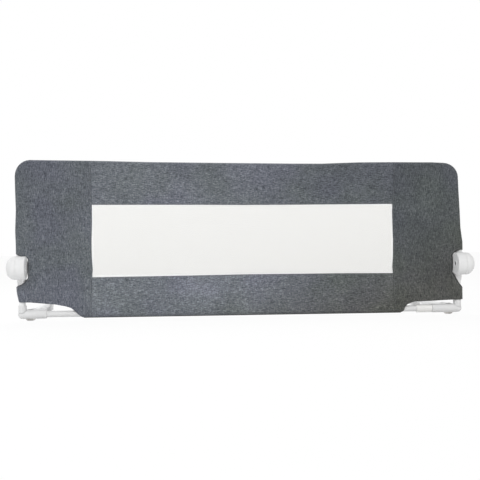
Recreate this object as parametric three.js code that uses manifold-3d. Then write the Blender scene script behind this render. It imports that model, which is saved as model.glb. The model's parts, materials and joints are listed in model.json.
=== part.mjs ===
// A folding bed guard rail: a fabric panel on a tube frame that swings down on two drum hinges.
// Millimetres, +Z up, +X along the rail, +Y towards the bed. The origin is on the floor, under the
// middle of the whole object. Each end is modelled on the right and mirrored for the left.
import * as THREE from "three";
import { mergeVertices } from "three/addons/utils/BufferGeometryUtils.js";
import Module from "manifold-3d";

const wasm = await Module();
wasm.setup();

// Driving dimensions
const railLength = 1500; // over the two hinge drums
const drumProud = 17; // each drum's reach past the cover's edge
const coverHeight = 502; // from the hem to the top edge
const hemHeight = 8; // the hem's height above the floor
const hingeHeight = 163; // from the hem to the hinge axis
const hingeForward = 34; // from the plane of the tubes to the hinge axis
const armReach = 410; // from the plane of the tubes to the tip of an arm
const tubeRadius = 10;
const tubeWall = 1.2;

// Clearances and cuts
const seat = 0.3; // between pieces that rest on each other
const slip = 0.25; // round a tube in its socket
const overrun = 2; // a cut past the face it opens
const weld = 1e-4; // vertices nearer than this are one

// Facets
const tubeSides = 16;
const drumSides = 24;
const smallSides = 12;
const ballSteps = 6;

// Hinge drum, with its own places counted outward from the seam between its halves
const drum = {
  radius: 37,
  length: 54,
  innerDepth: 27, // the fixed half, on the bed's middle side of the seam
  outerDepth: 18, // the moving half, without its button
  edge: 2.4,
  outerEdge: 6,
  outerRound: 11, // length of the moving half's rounded end
  wall: 4,
  dishDepth: 1.4,
  rim: 4,
  bossRadius: 11,
  hubGap: 1.4, // between the hub and the gear when the button is pressed
  recessDepth: 5.3,
  sweepGap: 0.6, // between one half's sleeve and the other half's rim
  webThickness: 2.5,
  lipThickness: 1.8,
};
const axle = { radius: 4, headRadius: 6.6, headGap: 0.8, headHeight: 4, keyRadius: 3, keyDepth: 2.4 };
const nut = { radius: 7.5, height: 6.5, sides: 6, past: 0.8 };
const gear = {
  teeth: 12,
  rootRadius: 22,
  tipRadius: 25,
  toothShare: 0.4,
  tipShare: 0.28,
  thickness: 8,
  boreGap: 0.6, // round the bolt
  engagement: 5.4, // depth of the moving half's teeth
};
const lockSpring = { radius: 15, wire: 0.8, turns: 4, stepsPerTurn: 8, sides: 5 };
const button = {
  radius: 28,
  flange: 2.4,
  flangeThickness: 1.2,
  domeWidth: 13,
  domeDepth: 8,
  roomRadius: 22,
  roof: 3.5,
  travel: 5.5,
};
const leg = { count: 3, radius: 3, circle: 15 };

// Sleeves of the hinge halves for the tubes
const neck = { radius: 12, start: 2, length: 68, tubeStart: 29.5, ribWidth: 7, ribStart: 8, ribEnd: 38 };

// Frame tubes
const cornerBend = 38; // centre line of the top corners
const bendSteps = 5;
const splice = { x: 360, depth: 50, taper: 4, buttonAt: 25 };
const snap = { radius: 4, inside: 4.2, proud: 2, dome: 1 };
const leaf = { width: 7, thickness: 0.8, length: 35, foldInside: 4, past: 6, gap: 0.4 };

// Corner bracket and its sleeve for the cross tube
const bracket = {
  sleeveRadius: 14,
  sleeveLength: 76, // from the post's axis
  tubeStop: 15, // from the post's axis
  axisHeight: 22,
  postInset: 17, // from the drum's inner face to the post's axis
  postRadius: 13,
  topGap: 4, // from the post's socket to the cover above it
  postTubeStart: 34,
  ballHeight: 32,
  ballGap: 0.9,
  coreRadius: 8,
  ringDepth: 0.7,
  ringWidth: 1.6,
  ringPitch: 4.2,
  ringCount: 3,
};
const pivot = { inset: 20, y: 30, tongueRadius: 16, tongueThickness: 10, earThickness: 7 };
const pivotBolt = { radius: 4, headRadius: 8, headHeight: 4 };
const pivotFoot = { radius: 17, tipRadius: 12.5, edge: 2.5, boreFloor: 4.4 };
const collar = { length: 61, gap: 1, radius: 13.4, edge: 1.5 };

// Arms
const knuckle = { radius: 13, webGap: 1, socketEnd: 60, tubeStart: 27, taper: 3 };
const armFoot = { width: 30, height: 36, length: 42, corner: 8, wall: 4.5, ribDepth: 1.2, ribWidth: 3 };
const armFootRibs = 4;

// Fabric cover
const cover = {
  cornerRadius: 50,
  slack: 0.4, // round the widest sleeve inside
  wall: 1,
  topWall: 1,
  sideWall: 1.6,
  splitGap: 0.6, // between the upper and lower cover at the hinge line
  dishEdge: 46, // width of the flat border over the tubes
  seamHalf: 0.9, // half of the cover's thickness where it is sewn to the net
  seamBorder: 12,
};
const endPanel = 238; // width of the cloth beside the window
const lowerBand = 132;
const upperBand = 139;
const net = { thickness: 0.8 };
const drumNotch = { side: 1.5, above: 38.6, corner: 8, below: 34, belowOuter: 68 };
const endNotch = { outerHeight: 46, innerHeight: 37, past: 3, run: 40 };
const curveSegments = 8;

// Places worked out from the sizes
const coverWidth = railLength - 2 * drumProud;
const hingeZ = hemHeight + hingeHeight;
const seamX = railLength / 2 - drum.length + drum.innerDepth;
const topZ = hemHeight + coverHeight - cover.topWall - seat - tubeRadius;
const upperTubeX = coverWidth / 2 - cover.sideWall - seat - neck.radius;
const postX = railLength / 2 - drum.length + bracket.postInset;
const crossZ = bracket.axisHeight;
const middleY = (armReach - hingeForward - drum.radius) / 2;
const sleeveInner = postX - bracket.sleeveLength;
const tubeEnd = postX - bracket.tubeStop;
const postTop = hemHeight + endNotch.outerHeight - bracket.topGap;
const pivotX = postX - pivot.inset;
const pivotBore = pivotBolt.radius + seat;
const spigotRadius = tubeRadius - tubeWall - seat;
const spigotBore = spigotRadius - tubeWall;
const webEnd = gear.engagement + drum.webThickness;
const collarOuter = sleeveInner - collar.gap;
const collarInner = collarOuter - collar.length;
const roomHalf = neck.radius + cover.slack;
const roomLow = crossZ - tubeRadius - seat;
const windowHalf = coverWidth / 2 - endPanel;
const windowLow = hemHeight + lowerBand;
const windowHigh = hemHeight + coverHeight - upperBand;

// Materials
const material = (color, roughness, metalness) =>
  new THREE.MeshStandardMaterial({ color, roughness, metalness });
const powderCoat = material(0xf1f1ee, 0.42, 0);
const whitePlastic = material(0xefefec, 0.5, 0);
const zincSteel = material(0xb9bcbe, 0.35, 1);
const springSteel = material(0x8f9396, 0.3, 1);
const greyFabric = material(0x5c636a, 0.95, 0);
const whiteNet = material(0xf3f2ec, 0.9, 0);
const warmRubber = material(0xd8cdc2, 0.8, 0);

// A geometry as a solid, with its shared vertices merged and its faces turned outward.
function toSolid(geometry) {
  const bare = geometry.index ? geometry.toNonIndexed() : geometry.clone();
  bare.deleteAttribute("normal");
  bare.deleteAttribute("uv");
  const merged = mergeVertices(bare, weld);
  const triangles = [];
  for (let i = 0; i < merged.index.count; i += 3) {
    const [a, b, c] = merged.index.array.slice(i, i + 3);
    if (a !== b && b !== c && c !== a) triangles.push(a, b, c);
  }
  const build = (list) =>
    new wasm.Manifold(
      new wasm.Mesh({
        numProp: 3,
        vertProperties: Float32Array.from(merged.attributes.position.array),
        triVerts: Uint32Array.from(list),
      }),
    );
  const solid = build(triangles);
  return solid.volume() < 0 ? build(triangles.reverse()) : solid;
}

// A solid as a geometry with flat faces.
function toGeometry(solid) {
  const mesh = solid.getMesh();
  const positions = new Float32Array(mesh.triVerts.length * 3);
  mesh.triVerts.forEach((vertex, i) => {
    const start = vertex * mesh.numProp;
    positions.set(mesh.vertProperties.subarray(start, start + 3), i * 3);
  });
  const geometry = new THREE.BufferGeometry();
  geometry.setAttribute("position", new THREE.BufferAttribute(positions, 3));
  geometry.computeVertexNormals();
  return geometry;
}

const join = (...geometries) => toGeometry(geometries.map(toSolid).reduce((a, b) => a.add(b)));
const cut = (geometry, ...tools) =>
  toGeometry(tools.map(toSolid).reduce((a, b) => a.subtract(b), toSolid(geometry)));
const common = (a, b) => toGeometry(toSolid(a).intersect(toSolid(b)));
const moved = (geometry, x, y, z) => geometry.clone().translate(x, y, z);

// Turns a shape made along +Y so that it runs along the named axis.
function along(axis, geometry) {
  if (axis === "x") geometry.rotateZ(-Math.PI / 2);
  if (axis === "z") geometry.rotateX(Math.PI / 2);
  return geometry;
}

// A solid cylinder on an axis through the origin, between two places on that axis.
function rod(axis, radius, from, to, sides = smallSides) {
  const geometry = new THREE.CylinderGeometry(radius, radius, to - from, sides);
  return along(axis, geometry.translate(0, (from + to) / 2, 0));
}

// A turned solid from a profile of radius and place along the axis.
function turned(axis, profile, sides = drumSides) {
  const points = profile.map(([radius, place]) => new THREE.Vector2(radius, place));
  return along(axis, new THREE.LatheGeometry(points, sides));
}

// A straight tube between two places on an axis through the origin.
function pipe(axis, from, to, radius = tubeRadius, wall = tubeWall) {
  const bore = radius - wall;
  const profile = [[bore, from], [radius, from], [radius, to], [bore, to], [bore, from]];
  return turned(axis, profile, tubeSides);
}

// A flat outline pushed along an axis. On x the outline holds y and z, on y x and z, on z x and y.
function prism(axis, shape, from, to) {
  const options = { depth: to - from, bevelEnabled: false, curveSegments };
  const geometry = new THREE.ExtrudeGeometry(shape, options);
  const [x, y, z] = [0, 1, 2].map((i) => new THREE.Vector3().setComponent(i, 1));
  if (axis === "x") geometry.applyMatrix4(new THREE.Matrix4().makeBasis(y, z, x));
  if (axis === "y") geometry.rotateX(Math.PI / 2);
  const start = new THREE.Vector3(axis === "x" ? from : 0, axis === "y" ? to : 0, axis === "z" ? from : 0);
  return geometry.translate(start.x, start.y, start.z);
}

// A box between two corners.
function block(low, high) {
  const size = high.map((value, i) => value - low[i]);
  const geometry = new THREE.BoxGeometry(...size);
  return geometry.translate(...low.map((value, i) => value + size[i] / 2));
}

// A path through given stations with given directions, so that a straight run takes one step.
class StationPath extends THREE.Curve {
  constructor(stations) {
    super();
    this.stations = stations;
  }
  getPointAt(u, target = new THREE.Vector3()) {
    return target.copy(this.stations[Math.round(u * (this.stations.length - 1))].point);
  }
  getTangentAt(u, target = new THREE.Vector3()) {
    return target.copy(this.stations[Math.round(u * (this.stations.length - 1))].direction);
  }
}

// Outline of a ring, for a tube.
function ringShape(radius, bore, sides) {
  const circle = (r) =>
    Array.from({ length: sides }, (_, i) => {
      const angle = (2 * Math.PI * i) / sides;
      return new THREE.Vector2(r * Math.cos(angle), r * Math.sin(angle));
    });
  const shape = new THREE.Shape(circle(radius));
  if (bore) shape.holes.push(new THREE.Path(circle(bore).reverse()));
  return shape;
}

// Toothed outline: one trapezoid tooth per step, grown by a clearance for the matching hole.
function toothedOutline(clearance) {
  const step = (2 * Math.PI) / gear.teeth;
  const root = gear.rootRadius + clearance;
  const tip = gear.tipRadius + clearance;
  const rootHalf = (gear.toothShare * step) / 2 + clearance / gear.rootRadius;
  const tipHalf = (gear.tipShare * step) / 2 + clearance / gear.tipRadius;
  const at = (radius, angle) => new THREE.Vector2(radius * Math.cos(angle), radius * Math.sin(angle));
  const points = [];
  for (let i = 0; i < gear.teeth; i++) {
    const middle = i * step;
    points.push(at(root, middle - rootHalf), at(tip, middle - tipHalf));
    points.push(at(tip, middle + tipHalf), at(root, middle + rootHalf));
  }
  return new THREE.Shape(points);
}

// Profile of a disc between two places, with a rounded edge at the far one, its depth along the axis.
function roundedDisc(radius, from, to, edge, depth = edge, steps = 2) {
  const profile = [[0, from], [radius, from]];
  for (let i = 0; i <= steps; i++) {
    const angle = (Math.PI / 2) * (i / steps);
    const inset = edge * (1 - Math.cos(angle));
    profile.push([radius - inset, to - Math.sign(to - from) * depth * (1 - Math.sin(angle))]);
  }
  profile.push([0, to]);
  return profile;
}

// Sleeve behind a hinge half for its tube, above (1) or below (-1) the axis, with its rib.
function hingeSleeve(tubeX, direction) {
  const ends = [direction * neck.start, direction * neck.length].sort((a, b) => a - b);
  const sleeve = moved(rod("z", neck.radius, ...ends, tubeSides), tubeX - seamX, hingeForward, 0);
  const boreEnds = [direction * neck.tubeStart, direction * (neck.length + overrun)];
  const bore = rod("z", tubeRadius + slip, ...boreEnds.sort((a, b) => a - b), tubeSides);
  return { sleeve, bore: moved(bore, tubeX - seamX, hingeForward, 0) };
}

// Rib between a hinge half's rim and its sleeve.
function hingeRib(direction, from, to) {
  const rimZ = Math.sqrt(drum.radius ** 2 - neck.ribStart ** 2) - drum.wall;
  const rib = new THREE.Shape();
  rib.moveTo(neck.ribStart, direction * rimZ);
  rib.lineTo(hingeForward - neck.radius + drum.wall, direction * neck.start);
  rib.lineTo(hingeForward - neck.radius + drum.wall, direction * neck.ribEnd);
  return prism("x", rib, from, to);
}

const ontoHinge = (geometry) => moved(geometry, seamX, -hingeForward, hingeZ);

// Fixed half of the drum: a dished cup with inner teeth, a hub for the bolt and a sleeve for the post.
function innerHousing() {
  const face = -drum.innerDepth;
  const floor = face + drum.wall;
  const seam = -seat / 2;
  const { sleeve, bore } = hingeSleeve(postX, -1);
  const ribMiddle = postX - seamX;
  const rib = hingeRib(-1, ribMiddle - neck.ribWidth / 2, ribMiddle + neck.ribWidth / 2);
  const cup = turned("x", roundedDisc(drum.radius, seam, face, drum.edge));
  const body = cut(
    join(cup, sleeve, rib),
    prism("x", toothedOutline(drum.sweepGap / 2), floor, overrun),
    rod("x", drum.radius + drum.sweepGap, seam, drum.length, drumSides),
    bore,
  );
  const dish = [[drum.bossRadius, face - overrun], [drum.radius - drum.rim, face - overrun]];
  dish.push([drum.radius - drum.rim, face + drum.dishDepth], [drum.bossRadius, face + drum.dishDepth]);
  dish.push(dish[0]);
  const hubEnd = -seat - gear.thickness - button.travel - drum.hubGap;
  const hub = rod("x", drum.bossRadius, floor - overrun / 2, hubEnd, tubeSides);
  const recess = rod("x", axle.headRadius + axle.headGap, face - overrun, face + drum.recessDepth, tubeSides);
  const shaft = rod("x", axle.radius + seat, face - overrun, seam + overrun);
  return ontoHinge(cut(join(body, hub), turned("x", dish), recess, shaft));
}

// Moving half of the drum: teeth at the seam, a web with holes for the button's legs, a room for
// the button under a lip, and a sleeve for the side tube.
function outerHousing() {
  const end = drum.outerDepth;
  const seam = seat / 2;
  const cavityRadius = button.radius + button.flange + drum.sweepGap;
  const { sleeve, bore } = hingeSleeve(upperTubeX, 1);
  const rib = hingeRib(1, seam, seam + neck.ribWidth);
  const cup = turned("x", roundedDisc(drum.radius, seam, end, drum.outerEdge, drum.outerRound, 3));
  return ontoHinge(
    cut(
      join(cup, sleeve, rib),
      prism("x", toothedOutline(drum.sweepGap / 2), -overrun, gear.engagement),
      rod("x", drum.radius + drum.sweepGap, -drum.length, seam, drumSides),
      rod("x", cavityRadius, webEnd, end - drum.lipThickness, drumSides),
      rod("x", button.radius + seat, webEnd, end + overrun, drumSides),
      rod("x", axle.radius + seat, -overrun, webEnd + overrun),
      ...buttonLegs(leg.radius + drum.sweepGap, 0, webEnd + overrun),
      bore,
    ),
  );
}

// The three legs that carry the button's push to the gear, or their holes.
function buttonLegs(radius, from, to) {
  return Array.from({ length: leg.count }, (_, i) => {
    const angle = (2 * Math.PI * i) / leg.count;
    const pin = rod("x", radius, from, to, smallSides / 2);
    return moved(pin, 0, leg.circle * Math.cos(angle), leg.circle * Math.sin(angle));
  });
}

// Domed push button, hollow over the nut, held by its flange under the lip.
function releaseButton() {
  const top = drum.length - drum.innerDepth;
  const under = drum.outerDepth - drum.lipThickness - seat;
  const flangeRadius = button.radius + button.flange;
  const inner = under - button.flangeThickness;
  const outside = roundedDisc(button.radius, inner, top, button.domeWidth, button.domeDepth, 3);
  const flange = rod("x", flangeRadius, inner, under, drumSides);
  const room = rod("x", button.roomRadius, -overrun, top - button.roof, tubeSides);
  const shell = cut(join(turned("x", outside), flange), room);
  const legs = buttonLegs(leg.radius, 0, top - button.roof / 2);
  return ontoHinge(join(shell, ...legs));
}

// Sliding toothed ring. It stands just clear of the moving half's teeth, so that the rail can swing.
function lockGear() {
  const outerFace = -seat;
  const ring = prism("x", toothedOutline(0), outerFace - gear.thickness, outerFace);
  const bore = rod("x", axle.radius + gear.boreGap, -drum.length, overrun);
  return ontoHinge(cut(ring, bore));
}

// Return spring between the fixed half's floor and the gear.
function gearSpring() {
  const from = -drum.innerDepth + drum.wall + seat + lockSpring.wire;
  const to = -seat - gear.thickness - seat - lockSpring.wire;
  const steps = lockSpring.turns * lockSpring.stepsPerTurn;
  const stations = Array.from({ length: steps + 1 }, (_, i) => {
    const angle = (2 * Math.PI * i) / lockSpring.stepsPerTurn;
    const y = lockSpring.radius * Math.cos(angle);
    const z = lockSpring.radius * Math.sin(angle);
    const point = new THREE.Vector3(from + ((to - from) * i) / steps, y, z);
    const rise = (to - from) / (2 * Math.PI * lockSpring.turns);
    return { point, direction: new THREE.Vector3(rise, -z, y).normalize() };
  });
  const section = ringShape(lockSpring.wire, 0, lockSpring.sides);
  const path = new StationPath(stations);
  return ontoHinge(new THREE.ExtrudeGeometry(section, { steps, extrudePath: path }));
}

// Bolt through both halves, its socket head in the fixed half's recess.
function hingeAxle() {
  const headInner = -drum.innerDepth + drum.recessDepth - seat;
  const face = headInner - axle.headHeight;
  const head = rod("x", axle.headRadius, face, headInner, tubeSides);
  const key = rod("x", axle.keyRadius, face - overrun, face + axle.keyDepth, nut.sides);
  const end = webEnd + seat + nut.height + nut.past;
  return ontoHinge(cut(join(head, rod("x", axle.radius, headInner - seat, end)), key));
}

function axleNut() {
  const from = webEnd + seat;
  const body = rod("x", nut.radius, from, from + nut.height, nut.sides);
  return ontoHinge(cut(body, rod("x", axle.radius + seat, 0, drum.length)));
}

// Side tube of the upper frame, bent into the top rail, with the hole for its snap button.
function cornerTube() {
  const at = (x, z, dx, dz) => ({
    point: new THREE.Vector3(x, 0, z),
    direction: new THREE.Vector3(dx, 0, dz),
  });
  const stations = [at(upperTubeX, hingeZ + neck.tubeStart + seat, 0, 1)];
  for (let i = 0; i <= bendSteps; i++) {
    const angle = (Math.PI / 2) * (i / bendSteps);
    const x = upperTubeX - cornerBend * (1 - Math.cos(angle));
    const z = topZ - cornerBend * (1 - Math.sin(angle));
    stations.push(at(x, z, -Math.sin(angle), Math.cos(angle)));
  }
  stations.push(at(splice.x, topZ, -1, 0));
  const options = { steps: stations.length - 1, extrudePath: new StationPath(stations) };
  const section = ringShape(tubeRadius, tubeRadius - tubeWall, tubeSides);
  const tube = new THREE.ExtrudeGeometry(section, options);
  return cut(tube, moved(snapHole(-1), splice.x + splice.buttonAt, 0, topZ));
}

// Hole for a snap button through the tube walls, on the side that direction gives.
function snapHole(direction) {
  const ends = [0, direction * (tubeRadius + overrun)].sort((a, b) => a - b);
  return rod("z", snap.radius + seat, ...ends, smallSides);
}

// Middle length of a rail, necked down at both ends to slide into the outer lengths.
function splicedTube(z, buttonSide) {
  const shoulder = splice.x - seat;
  const tip = splice.x + splice.depth;
  const wide = tubeRadius - tubeWall;
  const half = [[spigotRadius, tip], [spigotRadius, shoulder]];
  half.push([tubeRadius, shoulder - splice.taper]);
  const inside = [[wide, shoulder - splice.taper], [spigotBore, shoulder], [spigotBore, tip]];
  const flip = (list) => list.map(([radius, place]) => [radius, -place]).reverse();
  const profile = [...half, ...flip(half), ...flip(inside), ...inside];
  profile.push(profile[0]);
  const holes = [-1, 1].map((side) =>
    moved(snapHole(buttonSide), side * (splice.x + splice.buttonAt), 0, 0),
  );
  return moved(cut(turned("x", profile, tubeSides), ...holes), 0, 0, z);
}

// Domed pin that stands through both tube walls.
function snapButton(z, side) {
  const proud = tubeRadius + snap.proud;
  const profile = [[0, snap.inside], [snap.radius, snap.inside], [snap.radius, proud - snap.dome]];
  profile.push([snap.radius * Math.SQRT1_2, proud - snap.dome * (1 - Math.SQRT1_2)], [0, proud]);
  const pin = turned("z", profile, smallSides);
  if (side < 0) pin.rotateX(Math.PI);
  return moved(pin, splice.x + splice.buttonAt, 0, z);
}

// Folded leaf that pushes the snap button out, its arms on the pin and on the far wall.
function snapSpring(z, side) {
  const near = side * (snap.inside - seat);
  const far = side * (leaf.gap - Math.sqrt(spigotBore ** 2 - (leaf.width / 2) ** 2));
  const thick = side * leaf.thickness;
  const fold = (near + far) / 2;
  const shape = new THREE.Shape();
  shape.moveTo(leaf.past, near);
  shape.lineTo(-snap.radius, near);
  shape.lineTo(-leaf.length, fold);
  shape.lineTo(-snap.radius, far);
  shape.lineTo(leaf.past, far);
  shape.lineTo(leaf.past, far + thick);
  shape.lineTo(-snap.radius, far + thick);
  shape.lineTo(leaf.foldInside - leaf.length, fold);
  shape.lineTo(-snap.radius, near - thick);
  shape.lineTo(leaf.past, near - thick);
  return moved(prism("y", shape, -leaf.width / 2, leaf.width / 2), splice.x + splice.buttonAt, 0, z);
}

// Short post between the corner bracket and the fixed hinge half.
function lowerPost() {
  const from = bracket.postTubeStart + seat;
  return moved(pipe("z", from, hingeZ - neck.tubeStart - seat), postX, 0, 0);
}

// Outer length of the cross tube.
function crossEndTube() {
  const tube = moved(pipe("x", splice.x, tubeEnd - seat), 0, 0, crossZ);
  return cut(tube, moved(snapHole(1), splice.x + splice.buttonAt, 0, crossZ));
}

// Moulded corner: a sleeve on the cross tube, a ball-ended socket for the post that sits in the
// sleeve's cupped end, and a tongue at the back for the arm.
function cornerBracket() {
  const { sleeveRadius, postRadius, ballHeight } = bracket;
  const sleeve = moved(rod("x", sleeveRadius, sleeveInner, postX, tubeSides), 0, 0, crossZ);
  const end = new THREE.SphereGeometry(sleeveRadius, tubeSides, ballSteps);
  const tongue = new THREE.Shape();
  tongue.absarc(pivotX, pivot.y, pivot.tongueRadius, 0, Math.PI);
  tongue.lineTo(pivotX - pivot.tongueRadius, 0);
  tongue.lineTo(pivotX + pivot.tongueRadius, 0);
  const half = pivot.tongueThickness / 2;
  const ball = new THREE.SphereGeometry(postRadius + bracket.ballGap, tubeSides, ballSteps);
  const boltHole = rod("z", pivotBore, 0, postTop, smallSides);
  const body = cut(
    join(
      sleeve,
      moved(end, postX, 0, crossZ),
      prism("z", tongue, crossZ - half, crossZ + half),
    ),
    moved(ball, postX, 0, ballHeight),
    moved(boltHole, pivotX, pivot.y, 0),
  );
  const core = moved(rod("z", bracket.coreRadius, crossZ - sleeveRadius / 2, ballHeight), postX, 0, 0);
  const tubeHole = rod("x", tubeRadius + slip, sleeveInner - overrun, tubeEnd, tubeSides);
  return join(cut(join(body, core), moved(tubeHole, 0, 0, crossZ)), postSocket());
}

// Socket round the lower post, with a ball end and grooves round it.
function postSocket() {
  const { postRadius, ballHeight, ringDepth, ringWidth, ringPitch } = bracket;
  const steps = ballSteps / 2;
  const profile = [];
  for (let i = 0; i <= steps; i++) {
    const angle = (Math.PI / 2) * (i / steps);
    const place = ballHeight - postRadius * Math.cos(angle);
    profile.push([postRadius * Math.sin(angle), place]);
  }
  for (let i = 0; i < bracket.ringCount; i++) {
    const place = ballHeight + ringPitch * (i + 1);
    profile.push([postRadius, place - ringWidth / 2], [postRadius - ringDepth, place]);
    profile.push([postRadius, place + ringWidth / 2]);
  }
  profile.push([postRadius, postTop], [0, postTop]);
  const bore = rod("z", tubeRadius + slip, bracket.postTubeStart, postTop + overrun, tubeSides);
  return moved(cut(turned("z", profile, tubeSides), bore), postX, 0, 0);
}

// Upright bolt of the arm's pivot.
function pivotBoltPiece() {
  const top = crossZ + pivot.tongueThickness / 2 + seat + pivot.earThickness + seat;
  const profile = [[0, pivotFoot.boreFloor + seat], [pivotBolt.radius, pivotFoot.boreFloor + seat]];
  const crown = top + pivotBolt.headHeight;
  profile.push([pivotBolt.radius, top], [pivotBolt.headRadius, top]);
  profile.push([pivotBolt.headRadius, top + pivotBolt.headHeight / 2], [pivotBolt.radius, crown]);
  profile.push([0, crown]);
  return moved(turned("z", profile, smallSides), pivotX, pivot.y, 0);
}

// Moulded foot that closes the pivot from below and stands on the floor.
function pivotFootPiece() {
  const top = crossZ - pivot.tongueThickness / 2 - seat - pivot.earThickness - seat;
  const { radius, tipRadius, edge, boreFloor } = pivotFoot;
  const profile = [[0, 0], [tipRadius - edge, 0], [tipRadius, edge / 2], [radius, top - edge]];
  profile.push([radius, top], [pivotBore, top], [pivotBore, boreFloor], [0, boreFloor]);
  return moved(turned("z", profile, tubeSides), pivotX, pivot.y, 0);
}

// Forked end of the arm: two ears round the tongue and a socket for the arm tube.
function armKnuckle() {
  const gap = pivot.tongueThickness / 2 + seat;
  const outer = gap + pivot.earThickness;
  const ear = new THREE.Shape();
  ear.absarc(pivotX, pivot.y, pivot.tongueRadius, Math.PI, 2 * Math.PI);
  ear.lineTo(pivotX + knuckle.radius, pivot.y + knuckle.socketEnd / 2);
  ear.lineTo(pivotX - knuckle.radius, pivot.y + knuckle.socketEnd / 2);
  const fork = prism("z", ear, crossZ - outer, crossZ + outer);
  const web = pivot.tongueRadius + knuckle.webGap;
  const slot = block(
    [pivotX - pivot.tongueRadius - overrun, pivot.y - pivot.tongueRadius - overrun, crossZ - gap],
    [pivotX + pivot.tongueRadius + overrun, pivot.y + web, crossZ + gap],
  );
  const socket = [[0, web], [knuckle.radius, web]];
  socket.push([knuckle.radius, knuckle.socketEnd - knuckle.taper]);
  socket.push([knuckle.radius - knuckle.taper / 2, knuckle.socketEnd], [0, knuckle.socketEnd]);
  const tubeHole = rod("y", tubeRadius + slip, knuckle.tubeStart, knuckle.socketEnd + overrun, tubeSides);
  const boltHole = rod("z", pivotBore, crossZ - outer - overrun, crossZ + outer + overrun);
  return cut(
    join(fork, moved(turned("y", socket, tubeSides), pivotX, pivot.y, crossZ)),
    slot,
    moved(boltHole, pivotX, pivot.y, 0),
    moved(tubeHole, pivotX, pivot.y, crossZ),
  );
}

function armTube() {
  const from = pivot.y + knuckle.tubeStart + seat;
  return moved(pipe("y", from, armReach - armFoot.wall - seat), pivotX, 0, crossZ);
}

// Soft grip on the arm's tip, flat below where it stands, with grooves across its top.
function armFootPiece() {
  const { width, height, length, corner, wall, ribDepth, ribWidth } = armFoot;
  const half = width / 2;
  const outline = new THREE.Shape();
  outline.moveTo(-half + corner / 2, 0);
  outline.lineTo(half - corner / 2, 0);
  outline.lineTo(half, corner / 2);
  outline.lineTo(half, height - corner);
  outline.quadraticCurveTo(half, height, half - corner, height);
  outline.lineTo(-half + corner, height);
  outline.quadraticCurveTo(-half, height, -half, height - corner);
  outline.lineTo(-half, corner / 2);
  const start = armReach - length;
  const pitch = length / (armFootRibs + 1);
  const grooves = Array.from({ length: armFootRibs }, (_, i) => {
    const middle = start + pitch * (i + 1);
    const low = [-half, middle - ribWidth / 2, height - ribDepth];
    return block(low, [half, middle + ribWidth / 2, height + ribDepth]);
  });
  const bore = rod("y", tubeRadius + slip, start - overrun, armReach - wall, tubeSides);
  const grip = cut(prism("y", outline, start, armReach), moved(bore, 0, 0, crossZ), ...grooves);
  return moved(grip, pivotX, 0, 0);
}

// Second plastic sleeve on the cross tube, on the right only.
function tubeCollar() {
  const { radius, edge } = collar;
  const bore = tubeRadius + seat;
  const profile = [[bore, collarInner], [radius - edge, collarInner], [radius, collarInner + edge]];
  profile.push([radius, collarOuter - edge], [radius - edge, collarOuter], [bore, collarOuter]);
  profile.push([bore, collarInner]);
  return moved(turned("x", profile, tubeSides), 0, 0, crossZ);
}

// Outline of the whole cover in x and z, cut away round the drums and over the corner brackets.
function coverOutline() {
  const half = coverWidth / 2;
  const top = hemHeight + coverHeight;
  const notchLow = hingeZ - drumNotch.belowOuter;
  const radius = cover.cornerRadius;
  const notchIn = railLength / 2 - drum.length - drumNotch.side;
  const { outerHeight, innerHeight } = endNotch;
  const innerX = collarInner - endNotch.past;
  const hemX = innerX - endNotch.run;
  const innerZ = hemHeight + innerHeight;
  const right = new THREE.Path();
  right.moveTo(hemX, hemHeight);
  right.quadraticCurveTo((hemX + innerX) / 2, innerZ, innerX, innerZ);
  right.lineTo(half, hemHeight + outerHeight);
  right.lineTo(half, notchLow);
  right.quadraticCurveTo(notchIn, notchLow, notchIn, hingeZ - drumNotch.below);
  right.lineTo(notchIn, hingeZ + drumNotch.above - drumNotch.corner);
  right.lineTo(notchIn + drumNotch.corner, hingeZ + drumNotch.above);
  right.lineTo(half, hingeZ + drumNotch.above);
  right.lineTo(half, top - radius);
  right.absarc(half - radius, top - radius, radius, 0, Math.PI / 2);
  return mirroredShape(right);
}

// Outline of the room inside the cover. It runs on past the cut-aways, whose edges stay open.
function roomOutline() {
  const half = coverWidth / 2 - cover.sideWall;
  const top = hemHeight + coverHeight - cover.topWall;
  const radius = cover.cornerRadius - cover.topWall;
  const right = new THREE.Path();
  right.moveTo(half, roomLow);
  right.lineTo(half, top - radius);
  right.absarc(half - radius, top - radius, radius, 0, Math.PI / 2);
  return mirroredShape(right);
}

// A shape from its right half and the same half mirrored to the left.
function mirroredShape(right) {
  const points = right.getPoints(curveSegments);
  const left = points.map((point) => new THREE.Vector2(-point.x, point.y)).reverse();
  return new THREE.Shape([...points, ...left]);
}

// Hollow in the cover's front or back, from the flat border in to the sewn edge of the window.
function coverDish(face, grow) {
  const border = cover.dishEdge - grow;
  const front = roomHalf + cover.wall + overrun;
  const seam = cover.seamHalf - grow;
  const stretch = (front - seam) / (roomHalf + cover.wall - cover.seamHalf);
  const box = new THREE.BoxGeometry(1, 1, 1);
  const position = box.attributes.position;
  const edge = cover.seamBorder + grow;
  const near = {
    x: windowHalf + edge,
    low: windowLow - edge,
    high: windowHigh + edge,
  };
  const far = {
    x: coverWidth / 2 - border,
    low: hemHeight + border,
    high: hemHeight + coverHeight - border,
  };
  const reach = (key) => near[key] + (far[key] - near[key]) * stretch;
  for (let i = 0; i < position.count; i++) {
    const outside = position.getY(i) < 0;
    const x = outside ? reach("x") : near.x;
    const z = outside
      ? reach(position.getZ(i) > 0 ? "high" : "low")
      : near[position.getZ(i) > 0 ? "high" : "low"];
    position.setXYZ(i, Math.sign(position.getX(i)) * x, face * (outside ? front : seam), z);
  }
  return box;
}

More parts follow.
